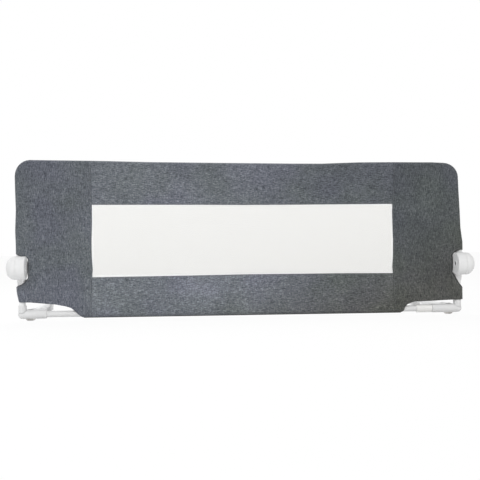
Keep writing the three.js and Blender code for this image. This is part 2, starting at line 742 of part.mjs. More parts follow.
// The whole cover as one hollow skin, before it is parted at the hinge line.
function wholeCover() {
  const depth = roomHalf + cover.wall;
  const skin = cut(prism("y", coverOutline(), -depth, depth), coverDish(-1, 0), coverDish(1, 0));
  const room = cut(
    prism("y", roomOutline(), -roomHalf, roomHalf),
    coverDish(-1, cover.wall),
    coverDish(1, cover.wall),
  );
  const opening = block([-windowHalf, -depth, windowLow], [windowHalf, depth, windowHigh]);
  return cut(skin, room, opening);
}

// One half of the cover, above (1) or below (-1) the hinge line.
function coverHalf(whole, direction) {
  const start = hingeZ + (direction * cover.splitGap) / 2;
  const ends = [start, hingeZ + direction * coverHeight].sort((a, b) => a - b);
  const slab = block([-coverWidth, -coverWidth, ends[0]], [coverWidth, coverWidth, ends[1]]);
  return common(whole, slab);
}

// Net in the window, above or below the hinge line.
function windowNet(direction) {
  const start = hingeZ + (direction * cover.splitGap) / 2;
  const end = direction > 0 ? windowHigh - seat : windowLow + seat;
  const [low, high] = [start, end].sort((a, b) => a - b);
  const half = windowHalf - seat;
  return block([-half, -net.thickness / 2, low], [half, net.thickness / 2, high]);
}

function piece(parent, name, geometry, finish) {
  const mesh = new THREE.Mesh(geometry, finish);
  mesh.name = name;
  parent.add(mesh);
}

// Everything that both ends have.
const endPieces = {
  corner_tube: [cornerTube(), powderCoat],
  hinge_inner_housing: [innerHousing(), whitePlastic],
  hinge_outer_housing: [outerHousing(), whitePlastic],
  hinge_axle: [hingeAxle(), zincSteel],
  axle_nut: [axleNut(), zincSteel],
  lock_gear: [lockGear(), whitePlastic],
  lock_spring: [gearSpring(), springSteel],
  release_button: [releaseButton(), whitePlastic],
  lower_post: [lowerPost(), powderCoat],
  cross_end_tube: [crossEndTube(), powderCoat],
  corner_bracket: [cornerBracket(), whitePlastic],
  pivot_bolt: [pivotBoltPiece(), zincSteel],
  pivot_foot: [pivotFootPiece(), warmRubber],
  arm_knuckle: [armKnuckle(), whitePlastic],
  arm_tube: [armTube(), powderCoat],
  arm_foot: [armFootPiece(), warmRubber],
  top_snap_button: [snapButton(topZ, -1), zincSteel],
  top_snap_spring: [snapSpring(topZ, -1), springSteel],
  cross_snap_button: [snapButton(crossZ, 1), zincSteel],
  cross_snap_spring: [snapSpring(crossZ, 1), springSteel],
};

const rail = new THREE.Group();
rail.position.y = -middleY;
for (const [label, mirror] of [["left", -1], ["right", 1]]) {
  const end = new THREE.Group();
  end.scale.x = mirror;
  for (const [name, [geometry, finish]] of Object.entries(endPieces)) {
    piece(end, `${name}_${label}`, geometry, finish);
  }
  rail.add(end);
}
piece(rail, "tube_collar_right", tubeCollar(), whitePlastic);
piece(rail, "top_tube", splicedTube(topZ, -1), powderCoat);
piece(rail, "cross_tube", splicedTube(crossZ, 1), powderCoat);
const whole = wholeCover();
piece(rail, "cover_upper", coverHalf(whole, 1), greyFabric);
piece(rail, "cover_lower", coverHalf(whole, -1), greyFabric);
piece(rail, "window_net_upper", windowNet(1), whiteNet);
piece(rail, "window_net_lower", windowNet(-1), whiteNet);

const guardRail = new THREE.Group();
guardRail.add(rail);
export default guardRail;
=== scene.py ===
"""A folding bed guard rail dressed for a studio picture: stretched cloth cover, net window and tube frame."""

import json
import logging
import math
from collections.abc import Iterable, Sequence
from dataclasses import dataclass
from enum import Enum

import bpy
import numpy as np
from mathutils import Matrix, Vector, noise
from mathutils.bvhtree import BVHTree


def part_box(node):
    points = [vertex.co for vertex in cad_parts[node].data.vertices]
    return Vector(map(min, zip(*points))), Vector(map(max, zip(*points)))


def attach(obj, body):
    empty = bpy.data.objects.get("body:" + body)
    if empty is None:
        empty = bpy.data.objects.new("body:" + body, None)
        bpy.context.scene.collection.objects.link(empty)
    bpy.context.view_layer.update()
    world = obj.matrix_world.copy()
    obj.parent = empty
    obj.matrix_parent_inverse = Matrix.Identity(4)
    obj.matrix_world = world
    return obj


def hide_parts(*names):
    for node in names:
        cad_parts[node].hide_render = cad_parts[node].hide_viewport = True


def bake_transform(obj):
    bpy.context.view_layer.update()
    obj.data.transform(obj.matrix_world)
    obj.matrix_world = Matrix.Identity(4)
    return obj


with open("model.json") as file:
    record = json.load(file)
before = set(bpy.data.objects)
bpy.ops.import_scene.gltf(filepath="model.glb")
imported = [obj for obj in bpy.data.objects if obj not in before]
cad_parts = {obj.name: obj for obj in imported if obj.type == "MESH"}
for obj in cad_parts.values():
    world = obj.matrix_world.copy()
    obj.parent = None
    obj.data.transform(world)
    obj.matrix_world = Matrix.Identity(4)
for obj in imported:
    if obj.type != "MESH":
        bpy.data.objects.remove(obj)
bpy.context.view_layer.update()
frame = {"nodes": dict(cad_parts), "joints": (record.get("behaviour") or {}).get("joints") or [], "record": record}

log = logging.getLogger("guard_rail")

MM = 0.001
IMAGE_PIXELS = 480
Profile = Sequence[tuple[float, float]]
# Outer point, inward normal and point on the window's edge in X and Z, and whether it lies in an end panel
Station = tuple[Vector, Vector, Vector, bool]
Color = tuple[float, float, float]
Piece = bpy.types.Object
Socket = bpy.types.NodeSocket
CLOTH_PLACE = "weave_place"
CLOTH_SHINE = 0.2
MERGE = 1e-6
TUBE_RADIUS = 10 * MM
TUBE_WALL = 1.2 * MM
TUBE_BORE = 10.25 * MM
BOLT_BORE = 4.3 * MM
LOW_HEIGHT = 22 * MM
POST_X = 0.713
SIDE_X = 0.7191
PIVOT_X = 0.693
PIVOT_BACK = 30 * MM
SPLICE = 0.36
SNAP_X = 0.385


class Side(Enum):
    """One end of the rail, with the sign of its X."""

    LEFT = -1
    RIGHT = 1

    @property
    def label(self) -> str:
        """The end's word in piece and node names."""
        return self.name.lower()

    def node(self, stem: str) -> str:
        """The name of this end's CAD node."""
        return f"{stem}_{self.label}"


class Axis(Enum):
    """The direction that a turned piece's axis points in."""

    X = (0.0, math.pi / 2, 0.0)
    Y = (-math.pi / 2, 0.0, 0.0)
    Z = (0.0, 0.0, 0.0)


class Grain(Enum):
    """The direction of the cloth's stronger yarn."""

    ACROSS = (0.19, 1.0, 1.0)
    UPRIGHT = (1.0, 1.0, 0.2)


class Flat(Enum):
    """The plane that an outline is drawn in: the axes of its two coordinates and of its thickness."""

    XY = (0, 1, 2)
    XZ = (0, 2, 1)
    YZ = (1, 2, 0)


class Work(Enum):
    """What is done to a solid with another one."""

    JOIN = "UNION"
    CUT = "DIFFERENCE"


def joint_place(name: str) -> Vector:
    """The point that a hinge of the frame turns about.

    Args:
        name: The joint's name.

    Returns:
        The point in metres.
    """
    return Vector(next(j["pos_m"] for j in frame["joints"] if j["name"] == name))


def middle_of(node: str) -> Vector:
    """The middle of a CAD node's box.

    Args:
        node: The node's name.

    Returns:
        The point in metres.
    """
    low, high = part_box(node)
    return (low + high) / 2


HINGE = joint_place("rail_swing")
TUBE_PLANE = middle_of("top_tube").y


# Materials


class NodeTree:
    """A material's or a world's node tree, with short calls that add and join its nodes."""

    def __init__(self, owner: bpy.types.Material | bpy.types.World) -> None:
        """Takes up the shader and the output that a new tree has.

        Args:
            owner: The material or world.
        """
        owner.use_nodes = True
        self.owner = owner
        self.tree = owner.node_tree
        in_world = isinstance(owner, bpy.types.World)
        self.shader = self.tree.nodes["Background" if in_world else "Principled BSDF"]
        self.output = self.tree.nodes["World Output" if in_world else "Material Output"]

    def add(self, kind: str, inputs: dict[str, object] | None = None, **settings: object) -> bpy.types.Node:
        """Adds a node.

        Args:
            kind: The node's type without its ShaderNode prefix.
            inputs: Values or other nodes' sockets for its inputs, by name.
            **settings: The node's own settings.

        Returns:
            The node.
        """
        node = self.tree.nodes.new(f"ShaderNode{kind}")
        for name, value in settings.items():
            setattr(node, name, value)
        for name, value in (inputs or {}).items():
            self.put(node, name, value)
        return node

    def put(self, node: bpy.types.Node, name: str, value: object) -> None:
        """Sets an input to a value, or joins another node's output to it.

        Args:
            node: The node that has the input.
            name: The input's name, or its index as text.
            value: A number, a vector, a colour or an output socket.
        """
        socket = node.inputs[int(name)] if name.isdigit() else node.inputs[name]
        if isinstance(value, Socket):
            self.tree.links.new(value, socket)
        else:
            socket.default_value = value

    def math(self, operation: str, *values: object) -> Socket:
        """Adds a Math node."""
        inputs = {str(index): value for index, value in enumerate(values)}
        return self.add("Math", inputs, operation=operation).outputs[0]

    def noise(self, place: Socket, scale: float, detail: float = 2.0, roughness: float = 0.5) -> Socket:
        """Adds noise."""
        inputs = {"Vector": place, "Scale": scale, "Detail": detail, "Roughness": roughness}
        return self.add("TexNoise", inputs).outputs["Fac"]

    def parts(self, place: Socket) -> tuple[Socket, Socket]:
        """Splits a place."""
        outputs = self.add("SeparateXYZ", {"Vector": place}).outputs
        return outputs["X"], outputs["Z"]

    def share(self, value: Socket, low: float, high: float) -> Socket:
        """Says how far a value is from one limit to another."""
        return self.add("MapRange", {"Value": value, "From Min": low, "From Max": high}).outputs["Result"]

    def mixed(self, share: object, first: object, second: object, way: str = "MIX") -> Socket:
        """Mixes two colours."""
        inputs = {"0": share, "6": first, "7": second}
        return self.add("Mix", inputs, data_type="RGBA", blend_type=way).outputs[2]

    def ramp(self, factor: Socket, stops: Sequence[tuple[float, Sequence[float]]]) -> Socket:
        """Adds a colour ramp.

        Args:
            factor: What drives it.
            stops: Places and colours, from low to high.

        Returns:
            The colour output.
        """
        node = self.add("ValToRGB", {"Fac": factor})
        elements = node.color_ramp.elements
        while len(elements) < len(stops):
            elements.new(0.5)
        for element, (place, color) in zip(elements, stops):
            element.position = place
            element.color = (*color, 1.0)
        return node.outputs["Color"]

    def bump(self, height: Socket, distance: float, strength: float) -> None:
        """Drives the shader's normal from a height."""
        node = self.add("Bump", {"Height": height, "Distance": distance, "Strength": strength})
        self.put(self.shader, "Normal", node.outputs["Normal"])

    def coordinates(self, scale: Sequence[float] = (1.0, 1.0, 1.0), attribute: str = "") -> Socket:
        """Places in metres on the piece, scaled.

        Args:
            scale: The scale along each axis.
            attribute: A vector attribute to read in place of Object coordinates.

        Returns:
            The vector output.
        """
        if attribute:
            source = self.add("Attribute", attribute_name=attribute).outputs["Vector"]
        else:
            source = self.add("TexCoord").outputs["Object"]
        return self.add("Mapping", {"Vector": source, "Scale": scale}).outputs["Vector"]


@dataclass(frozen=True)
class Finish:
    """A surface finish: a softly mottled colour with a fine grain in relief."""

    name: str
    slot: str
    color: Color
    roughness: float
    metallic: float = 0.0
    mottle: float = 60.0
    mottle_detail: float = 4.0
    mottle_spread: float = 0.025
    stretch: tuple[float, float, float] = (1.0, 1.0, 1.0)
    grain: float = 1500.0
    grain_detail: float = 2.0
    grain_depth: float = 0.05 * MM
    grain_strength: float = 0.6

    def material(self) -> bpy.types.Material:
        """The finish's material, made on first use.

        Returns:
            The material.
        """
        found = bpy.data.materials.get(self.name)
        if found:
            return found
        nodes = NodeTree(bpy.data.materials.new(self.name))
        nodes.put(nodes.shader, "Roughness", self.roughness)
        self.build(nodes)
        return nodes.owner

    def build(self, nodes: NodeTree) -> None:
        """Adds the mottle and the grain.

        Args:
            nodes: The material's tree.
        """
        nodes.put(nodes.shader, "Metallic", self.metallic)
        clouds = nodes.noise(nodes.coordinates(), self.mottle, self.mottle_detail)
        low = [channel * (1 - self.mottle_spread) for channel in self.color]
        high = [min(1.0, channel * (1 + self.mottle_spread)) for channel in self.color]
        nodes.put(nodes.shader, "Base Color", nodes.ramp(clouds, [(0.3, low), (0.7, high)]))
        grain = nodes.noise(nodes.coordinates(self.stretch), self.grain, self.grain_detail)
        nodes.bump(grain, self.grain_depth, self.grain_strength)


@dataclass(frozen=True)
class MouldedPlastic(Finish):
    """White injection-moulded plastic with a fine spark-eroded grain."""

    grain: float = 2200.0
    grain_depth: float = 0.03 * MM
    grain_strength: float = 0.5


@dataclass(frozen=True)
class PowderCoat(Finish):
    """White powder coat with a slight orange peel."""

    mottle: float = 25.0
    mottle_spread: float = 0.02
    grain: float = 420.0
    grain_detail: float = 1.0


@dataclass(frozen=True)
class PlatedSteel(Finish):
    """Cloudy zinc plate or bright steel with fine drawn lines."""

    metallic: float = 1.0
    mottle: float = 300.0
    mottle_spread: float = 0.12
    stretch: tuple[float, float, float] = (60.0, 900.0, 900.0)
    grain: float = 1.0
    grain_detail: float = 3.0
    grain_depth: float = 0.02 * MM
    grain_strength: float = 0.4


@dataclass(frozen=True)
class SoftRubber(Finish):
    """Matte soft rubber, a little dusty."""

    mottle: float = 140.0
    mottle_spread: float = 0.1


@dataclass(frozen=True)
class SewingThread(Finish):
    """Twisted polyester thread."""

    mottle: float = 900.0
    mottle_spread: float = 0.15
    stretch: tuple[float, float, float] = (900.0, 900.0, 900.0)
    grain: float = 4.0


@dataclass(frozen=True)
class MelangeCloth(Finish):
    """Plain-weave cloth of dark and pale yarns, with the slubs of linen."""

    yarn: Grain = Grain.ACROSS
    dark: Color = (0.084, 0.093, 0.108)
    pale: Color = (0.455, 0.48, 0.525)
    # Painted shade: these two tints darken and slightly green the right half of the cloth, as if lit from the left.
    near_tint: Color = (0.68, 0.69, 0.68)
    far_tint: Color = (0.78, 0.79, 0.745)
    # These two tints make the cloth darker and warmer toward its lower right.
    low_tint: Color = (0.89, 0.89, 0.82)
    corner_tint: Color = (0.86, 0.8, 0.69)
    # Painted shade: these two darken the cloth toward its top.
    middle_shade: float = 0.86
    top_shade: float = 0.8
    warm_patch: Color = (0.95, 0.975, 0.925)
    cool_patch: Color = (0.96, 0.95, 1.0)
    patch_scale: float = 7.0
    half_length: float = 0.73
    height: float = 0.5
    yarn_pitch: float = 0.7 * MM
    fine_scale: float = 700.0
    broad_scale: float = 350.0
    crossing_scale: float = 400.0
    crossing: float = 0.8
    streak_roughness: float = 0.6
    cloud_scale: float = 9.0
    cloud_detail: float = 3.0
    cloud_share: float = 0.12
    sheen: float = 0.12
    relief: float = 0.12 * MM
    relief_strength: float = 0.8
    yarn_relief: float = 0.8

    def build(self, nodes: NodeTree) -> None:
        """Adds the yarns, the slubs and the weave.

        Args:
            nodes: The material's tree.
        """
        rest = nodes.coordinates(attribute=CLOTH_PLACE)
        other = Grain.UPRIGHT if self.yarn is Grain.ACROSS else Grain.ACROSS
        fine = self.streaks(nodes, self.yarn, self.fine_scale)
        broad = self.streaks(nodes, self.yarn, self.broad_scale)
        crossing = self.streaks(nodes, other, self.crossing_scale)
        total = nodes.math("MULTIPLY_ADD", crossing, self.crossing, nodes.math("ADD", fine, broad))
        share = nodes.math("MULTIPLY", total, 1 / (2 + self.crossing))
        clouds = nodes.noise(rest, self.cloud_scale, self.cloud_detail)
        cloudy = nodes.math("MULTIPLY_ADD", clouds, self.cloud_share, share)
        yarns = nodes.ramp(cloudy, [(0.43, self.dark), (0.58, self.color), (0.78, self.pale)])
        # The base colour carries painted shade over the right half and toward the top.
        nodes.put(nodes.shader, "Base Color", self.faded(nodes, rest, yarns))
        nodes.put(nodes.shader, "Sheen Weight", self.sheen)
        nodes.put(nodes.shader, "Specular IOR Level", CLOTH_SHINE)
        raised = nodes.math("MULTIPLY_ADD", fine, self.yarn_relief, self.weave(nodes))
        nodes.bump(raised, self.relief, self.relief_strength)

    def faded(self, nodes: NodeTree, rest: Socket, yarns: Socket) -> Socket:
        """Darkens the cloth with painted shade over its right half and toward its top, makes it darker and warmer
        toward its lower right, and adds random warm and cool patches.

        Args:
            nodes: The material's tree.
            rest: Places on the cloth.
            yarns: The yarns' colour.

        Returns:
            The colour output.
        """
        x, z = nodes.parts(rest)
        along = nodes.share(x, -self.half_length, self.half_length)
        rise = nodes.share(z, 0.0, self.height)
        low_right = nodes.math("MULTIPLY_ADD", rise, -0.8, along)
        patches = nodes.noise(rest, self.patch_scale)
        full, middle, top = ((shade,) * 3 for shade in (1.0, self.middle_shade, self.top_shade))
        # The first two ramps are painted shade, the third darkens and warms the lower right, and the last is random
        # tone.
        for driver, stops in (
            (along, [(0.0, full), (0.5, full), (0.74, self.near_tint), (0.95, self.far_tint)]),
            (rise, [(0.2, full), (0.6, middle), (0.9, top)]),
            (low_right, [(0.3, full), (0.5, self.low_tint), (0.78, self.corner_tint)]),
            (patches, [(0.35, self.warm_patch), (0.65, self.cool_patch)]),
        ):
            yarns = nodes.mixed(1.0, yarns, nodes.ramp(driver, stops), "MULTIPLY")
        return yarns

    def streaks(self, nodes: NodeTree, along: Grain, scale: float) -> Socket:
        """Noise drawn out along the yarn."""
        return nodes.noise(nodes.coordinates(along.value, CLOTH_PLACE), scale, roughness=self.streak_roughness)

    def weave(self, nodes: NodeTree) -> Socket:
        """Height of a plain weave, over and under.

        Args:
            nodes: The material's tree.

        Returns:
            The height's socket.
        """
        turns = math.pi / self.yarn_pitch
        x, z = nodes.parts(nodes.coordinates((turns, turns, turns), CLOTH_PLACE))
        return nodes.math("MULTIPLY", nodes.math("SINE", x), nodes.math("SINE", z))


@dataclass(frozen=True)
class FineNet(Finish):
    """White knitted net of fine diamonds, too close to see through."""

    pitch: float = 1.8 * MM
    # Painted shade in the open cells between the threads.
    pit: Color = (0.7, 0.695, 0.68)
    border: Color = (0.985, 0.985, 0.98)
    border_width: float = 5 * MM
    relief: float = 0.2 * MM
    relief_strength: float = 0.5

    def build(self, nodes: NodeTree) -> None:
        """Adds the threads, with painted shade in the pits between them.

        Args:
            nodes: The material's tree.
        """
        turns = math.pi / self.pitch
        x, z = nodes.parts(nodes.coordinates((turns, turns, turns), CLOTH_PLACE))
        waves = [nodes.math("SINE", nodes.math(slope, x, z)) for slope in ("ADD", "SUBTRACT")]
        gap = nodes.math("MINIMUM", *[nodes.math("ABSOLUTE", wave) for wave in waves])
        # The pits between the threads get painted shade.
        knitted = nodes.ramp(gap, [(0.55, self.color), (0.85, self.pit)])
        color = nodes.mixed(self.edge_share(nodes), knitted, (*self.border, 1.0))
        nodes.put(nodes.shader, "Base Color", color)
        nodes.put(nodes.shader, "Specular IOR Level", CLOTH_SHINE)
        nodes.bump(nodes.math("SUBTRACT", 1.0, gap), self.relief, self.relief_strength)

    def edge_share(self, nodes: NodeTree) -> Socket:
        """Marks the border where the net is turned over and sewn.

        Args:
            nodes: The material's tree.

        Returns:
            1 in the border and 0 inside it.
        """
        x, z = nodes.parts(nodes.coordinates(attribute=CLOTH_PLACE))
        middle = (Cover.window_low + Cover.window_high) / 2
        level = nodes.math("SUBTRACT", z, middle)
        shares = []
        for place, half in ((x, Cover.window_half), (level, Cover.window_high - middle)):
            away = nodes.math("ABSOLUTE", place)
            shares.append(nodes.share(away, half - self.border_width, half - 0.6 * self.border_width))
        return nodes.math("MAXIMUM", *shares)


WHITE_PLASTIC = MouldedPlastic("white_moulded_plastic", "white_plastic", (0.88, 0.875, 0.855), 0.42)
GEAR_PLASTIC = MouldedPlastic("natural_gear_plastic", "gear_plastic", (0.78, 0.78, 0.74), 0.35)
WHITE_COAT = PowderCoat("white_powder_coat", "powder_coat", (0.87, 0.875, 0.875), 0.36)
ZINC = PlatedSteel("zinc_plate", "zinc_steel", (0.86, 0.865, 0.87), 0.5, 0.25)
BLACK_ZINC = PlatedSteel("black_zinc_plate", "zinc_steel", (0.035, 0.035, 0.04), 0.6, 0.3)
BRIGHT_WIRE = PlatedSteel("bright_spring_wire", "spring_steel", (0.42, 0.43, 0.44), 0.3)
WARM_RUBBER = SoftRubber("warm_foot_rubber", "foot_rubber", (0.97, 0.92, 0.88), 0.85)
GRIP_RUBBER = SoftRubber("white_grip_rubber", "grip_rubber", (0.8, 0.8, 0.78), 0.7)
BAND_CLOTH = MelangeCloth("melange_cloth_across", "grey_fabric", (0.196, 0.21, 0.239), 0.95)
END_CLOTH = MelangeCloth(
    "melange_cloth_upright", "grey_fabric", (0.151, 0.163, 0.186), 0.95, yarn=Grain.UPRIGHT,
    dark=(0.066, 0.073, 0.086), pale=(0.335, 0.355, 0.385),
)
WINDOW_NET = FineNet("white_window_net", "white_net", (0.93, 0.925, 0.905), 0.9)
GREY_THREAD = SewingThread("grey_sewing_thread", "grey_fabric", (0.23, 0.235, 0.24), 0.8)
# Near-black tape: painted shadow along the cloth's cut edges and under its hem.
EDGE_SHADOW_TAPE = SewingThread("edge_tape_painted_shadow", "grey_fabric", (0.04, 0.039, 0.04), 0.9)


# Modelling


def deselect() -> None:
    """Leaves object mode with nothing selected."""
    if bpy.context.object and bpy.context.object.mode != "OBJECT":
        bpy.ops.object.mode_set(mode="OBJECT")
    bpy.ops.object.select_all(action="DESELECT")


def pick(piece: Piece) -> None:
    """Makes one object the only one selected, and the active one.

    Args:
        piece: The object.
    """
    deselect()
    piece.select_set(True)
    bpy.context.view_layer.objects.active = piece


def settle(piece: Piece) -> None:
    """Puts an object's place, turn and scale into its mesh.

    Args:
        piece: The object.
    """
    pick(piece)
    bpy.ops.object.transform_apply(location=True, rotation=True, scale=True)


def outward(piece: Piece, merge: float = 0.0, least: float = 0.0) -> None:
    """Turns a piece's faces outward, after its doubles are merged.

    Args:
        piece: The piece, left selected.
        merge: Points closer than this are merged.
        least: Edges shorter than this are dissolved.
    """
    pick(piece)
    bpy.ops.object.mode_set(mode="EDIT")
    bpy.ops.mesh.select_all(action="SELECT")
    if merge:
        bpy.ops.mesh.remove_doubles(threshold=merge)
    if least:
        bpy.ops.mesh.dissolve_degenerate(threshold=least)
        bpy.ops.mesh.select_all(action="SELECT")
    bpy.ops.mesh.normals_make_consistent(inside=False)
    bpy.ops.object.mode_set(mode="OBJECT")


def arc(
    centre: Sequence[float], radius: float, start: float, end: float, steps: int = 12
) -> list[tuple[float, float]]:
    """Points of a circle's arc.

    Args:
        centre: The circle's centre.
        radius: Its radius.
        start: The first point's angle in degrees.
        end: The last point's angle in degrees.
        steps: The number of steps.

    Returns:
        The points.
    """
    angles = [math.radians(start + (end - start) * step / steps) for step in range(steps + 1)]
    return [(centre[0] + radius * math.cos(angle), centre[1] + radius * math.sin(angle)) for angle in angles]


def dome(radius: float, end: float, inset: float, depth: float, steps: int) -> list[tuple[float, float]]:
    """Profile of the oval edge of a turned piece's end.

    Args:
        radius: The piece's radius.
        end: The end's place along the axis.
        inset: The edge's size across the axis.
        depth: Its size along the axis.
        steps: The number of steps.

    Returns:
        The profile, from the side to the end.
    """
    angles = [math.pi / 2 * step / steps for step in range(steps + 1)]
    return [(radius - inset * (1 - math.cos(a)), end - depth * (1 - math.sin(a))) for a in angles]


def plate(outline: Profile, flat: Flat, start: float, end: float) -> Piece:
    """A flat outline made thick.

    Args:
        outline: Its points, in order.
        flat: The plane that it is drawn in.
        start: Its first face's place across that plane.
        end: Its other face's place.

    Returns:
        The solid.
    """
    deselect()
    first, second, across = flat.value
    bpy.ops.mesh.primitive_circle_add(vertices=len(outline), radius=1, fill_type="NGON")
    piece = bpy.context.object
    for vertex, point in zip(piece.data.vertices, outline):
        place = [start, start, start]
        place[first], place[second] = point
        vertex.co = place
    step = [0.0, 0.0, 0.0]
    step[across] = end - start
    pick(piece)
    bpy.ops.object.mode_set(mode="EDIT")
    bpy.ops.mesh.select_all(action="SELECT")
    bpy.ops.mesh.extrude_region_move(TRANSFORM_OT_translate={"value": step})
    outward(piece)
    return piece


def turned(
    profile: Profile, axis: Axis = Axis.Z, centre: Sequence[float] = (0, 0, 0), sides: int = 64
) -> Piece:
    """Turns a profile as on a lathe: one circle is extruded and scaled from station to station.

    Args:
        profile: Radius and place along the axis for each station, from axis to axis or in a closed loop.
        axis: The axis's direction.
        centre: Where place zero on the axis lies.
        sides: The number of sides.

    Returns:
        The turned solid.
    """
    deselect()
    thin = 1e-7
    radius, place = max(profile[0][0], thin), profile[0][1]
    bpy.ops.mesh.primitive_circle_add(vertices=sides, radius=radius, location=(0, 0, place))
    piece = bpy.context.object
    settle(piece)
    bpy.ops.object.mode_set(mode="EDIT")
    bpy.ops.mesh.select_all(action="SELECT")
    for next_radius, next_place in profile[1:]:
        step = (0, 0, next_place - place)
        bpy.ops.mesh.extrude_region_move(TRANSFORM_OT_translate={"value": step})
        grown = max(next_radius, thin) / radius
        bpy.ops.transform.resize(value=(grown, grown, 1), center_override=(0, 0, next_place))
        radius, place = max(next_radius, thin), next_place
    outward(piece, MERGE)
    piece.rotation_euler = axis.value
    piece.location = centre
    settle(piece)
    return piece


def rod(radius: float, start: float, end: float) -> Profile:
    """Profile of a plain round rod.

    Args:
        radius: Its radius.
        start: Its first end's place along the axis.
        end: Its other end's place.

    Returns:
        The profile.
    """
    return [(0, start), (radius, start), (radius, end), (0, end)]


def bar(radius: float, start: float, end: float, axis: Axis, centre: Sequence[float], sides: int = 48) -> Piece:
    """A plain round bar, as a cutter or a core.

    Args:
        radius: Its radius.
        start: Its first end's place along the axis.
        end: Its other end's place.
        axis: The axis's direction.
        centre: Where place zero lies.
        sides: The number of sides.

    Returns:
        The bar.
    """
    return turned(rod(radius, start, end), axis, centre, sides)


def tube(radius: float, wall: float, start: float, end: float, axis: Axis, centre: Sequence[float]) -> Piece:
    """A straight tube with slightly broken edges.

    Args:
        radius: Its outer radius.
        wall: Its wall.
        start: Its first end's place along the axis.
        end: Its other end's place.
        axis: The axis's direction.
        centre: Where place zero lies.

    Returns:
        The tube.
    """
    bore, burr = radius - wall, math.copysign(0.3 * MM, end - start)
    profile = [(bore, start), (radius - abs(burr), start), (radius, start + burr), (radius, end - burr)]
    profile += [(radius - abs(burr), end), (bore, end), (bore, start)]
    return turned(profile, axis, centre, 48)


def block(low: Sequence[float], high: Sequence[float], edge: float = 0.0) -> Piece:
    """A block between two corners, with rounded edges.

    Args:
        low: Its lowest corner.
        high: Its highest corner.
        edge: The radius of its edges.

    Returns:
        The block.
    """
    deselect()
    size = Vector(high) - Vector(low)
    bpy.ops.mesh.primitive_cube_add(size=1, location=(Vector(high) + Vector(low)) / 2)
    piece = bpy.context.object
    piece.scale = size
    settle(piece)
    if edge:
        bevelled(piece, edge, 3)
    return piece


def bevelled(piece: Piece, width: float, segments: int = 2, angle: float = 40) -> Piece:
    """Rounds an object's sharp edges.

    Args:
        piece: The object.
        width: The bevel's width.
        segments: Its segments.
        angle: Edges sharper than this many degrees are rounded.

    Returns:
        The object.
    """
    modifier = piece.modifiers.new("edges", "BEVEL")
    modifier.width = width
    modifier.segments = segments
    modifier.limit_method = "ANGLE"
    modifier.angle_limit = math.radians(angle)
    apply(piece, modifier)
    return piece


def walled(piece: Piece, thickness: float, offset: float = 0.0) -> None:
    """Gives an open skin a wall.

    Args:
        piece: The skin.
        thickness: The wall.
        offset: Where the skin lies in it: 0 in the middle and -1 on the outside.
    """
    modifier = piece.modifiers.new("wall", "SOLIDIFY")
    modifier.thickness, modifier.offset = thickness, offset
    apply(piece, modifier)


def wave(x: float, y: float, z: float) -> float:
    """Smooth noise, the same in each run.

    Args:
        x: First coordinate.
        y: Second coordinate.
        z: Third coordinate.

    Returns:
        The noise, from about -1 to 1.
    """
    return noise.noise(Vector((x, y, z)))


def apply(piece: Piece, modifier: bpy.types.Modifier) -> None:
    """Applies a modifier.

    Args:
        piece: The object that has it.
        modifier: The modifier.
    """
    pick(piece)
    bpy.ops.object.modifier_apply(modifier=modifier.name)


def combined(piece: Piece, others: Iterable[Piece], work: Work) -> Piece:
    """Joins other solids to one, or cuts them out of it.

    Args:
        piece: The solid that is kept.
        others: The solids that are used up.
        work: What is done with them.

    Returns:
        The kept solid.
    """
    for other in others:
        modifier = piece.modifiers.new("shape", "BOOLEAN")
        modifier.object = other
        modifier.operation = work.value
        modifier.solver = "MANIFOLD"
        apply(piece, modifier)
        bpy.data.objects.remove(other)
    return piece


def named(piece: Piece, name: str, finish: Finish) -> None:
    """Names a piece and gives it its finish.

    Args:
        piece: The piece.
        name: Its name.
        finish: Its finish, used where it has no material yet.
    """
    piece.name = name
    piece.data.name = name
    if not piece.data.materials:
        piece.data.materials.append(finish.material())


def entered(piece: Piece, nodes: Sequence[str]) -> None:
    """Hides the CAD nodes that a piece stands for, and logs its faces.

    Args:
        piece: The piece.
        nodes: The CAD nodes that it stands for.
    """
    if nodes:
        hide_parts(*nodes)
    log.info("%s: %d faces", piece.name, len(piece.data.polygons))


def dressed(
    piece: Piece,
    name: str,
    finish: Finish,
    body: str,
    nodes: Sequence[str] = (),
    smooth: float = 35,
) -> Piece:
    """Names a finished piece, gives it its finish and sets it on its body.

    Args:
        piece: The piece.
        name: Its name.
        finish: Its finish.
        body: The CAD body that it rides on.
        nodes: The CAD nodes that it stands for.
        smooth: Edges flatter than this many degrees are shaded smooth.

    Returns:
        The piece.
    """
    named(piece, name, finish)
    outward(piece, 2 * MERGE, MERGE)
    bpy.ops.object.shade_smooth_by_angle(angle=math.radians(smooth))
    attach(piece, body)
    entered(piece, nodes)
    return piece


# Cover


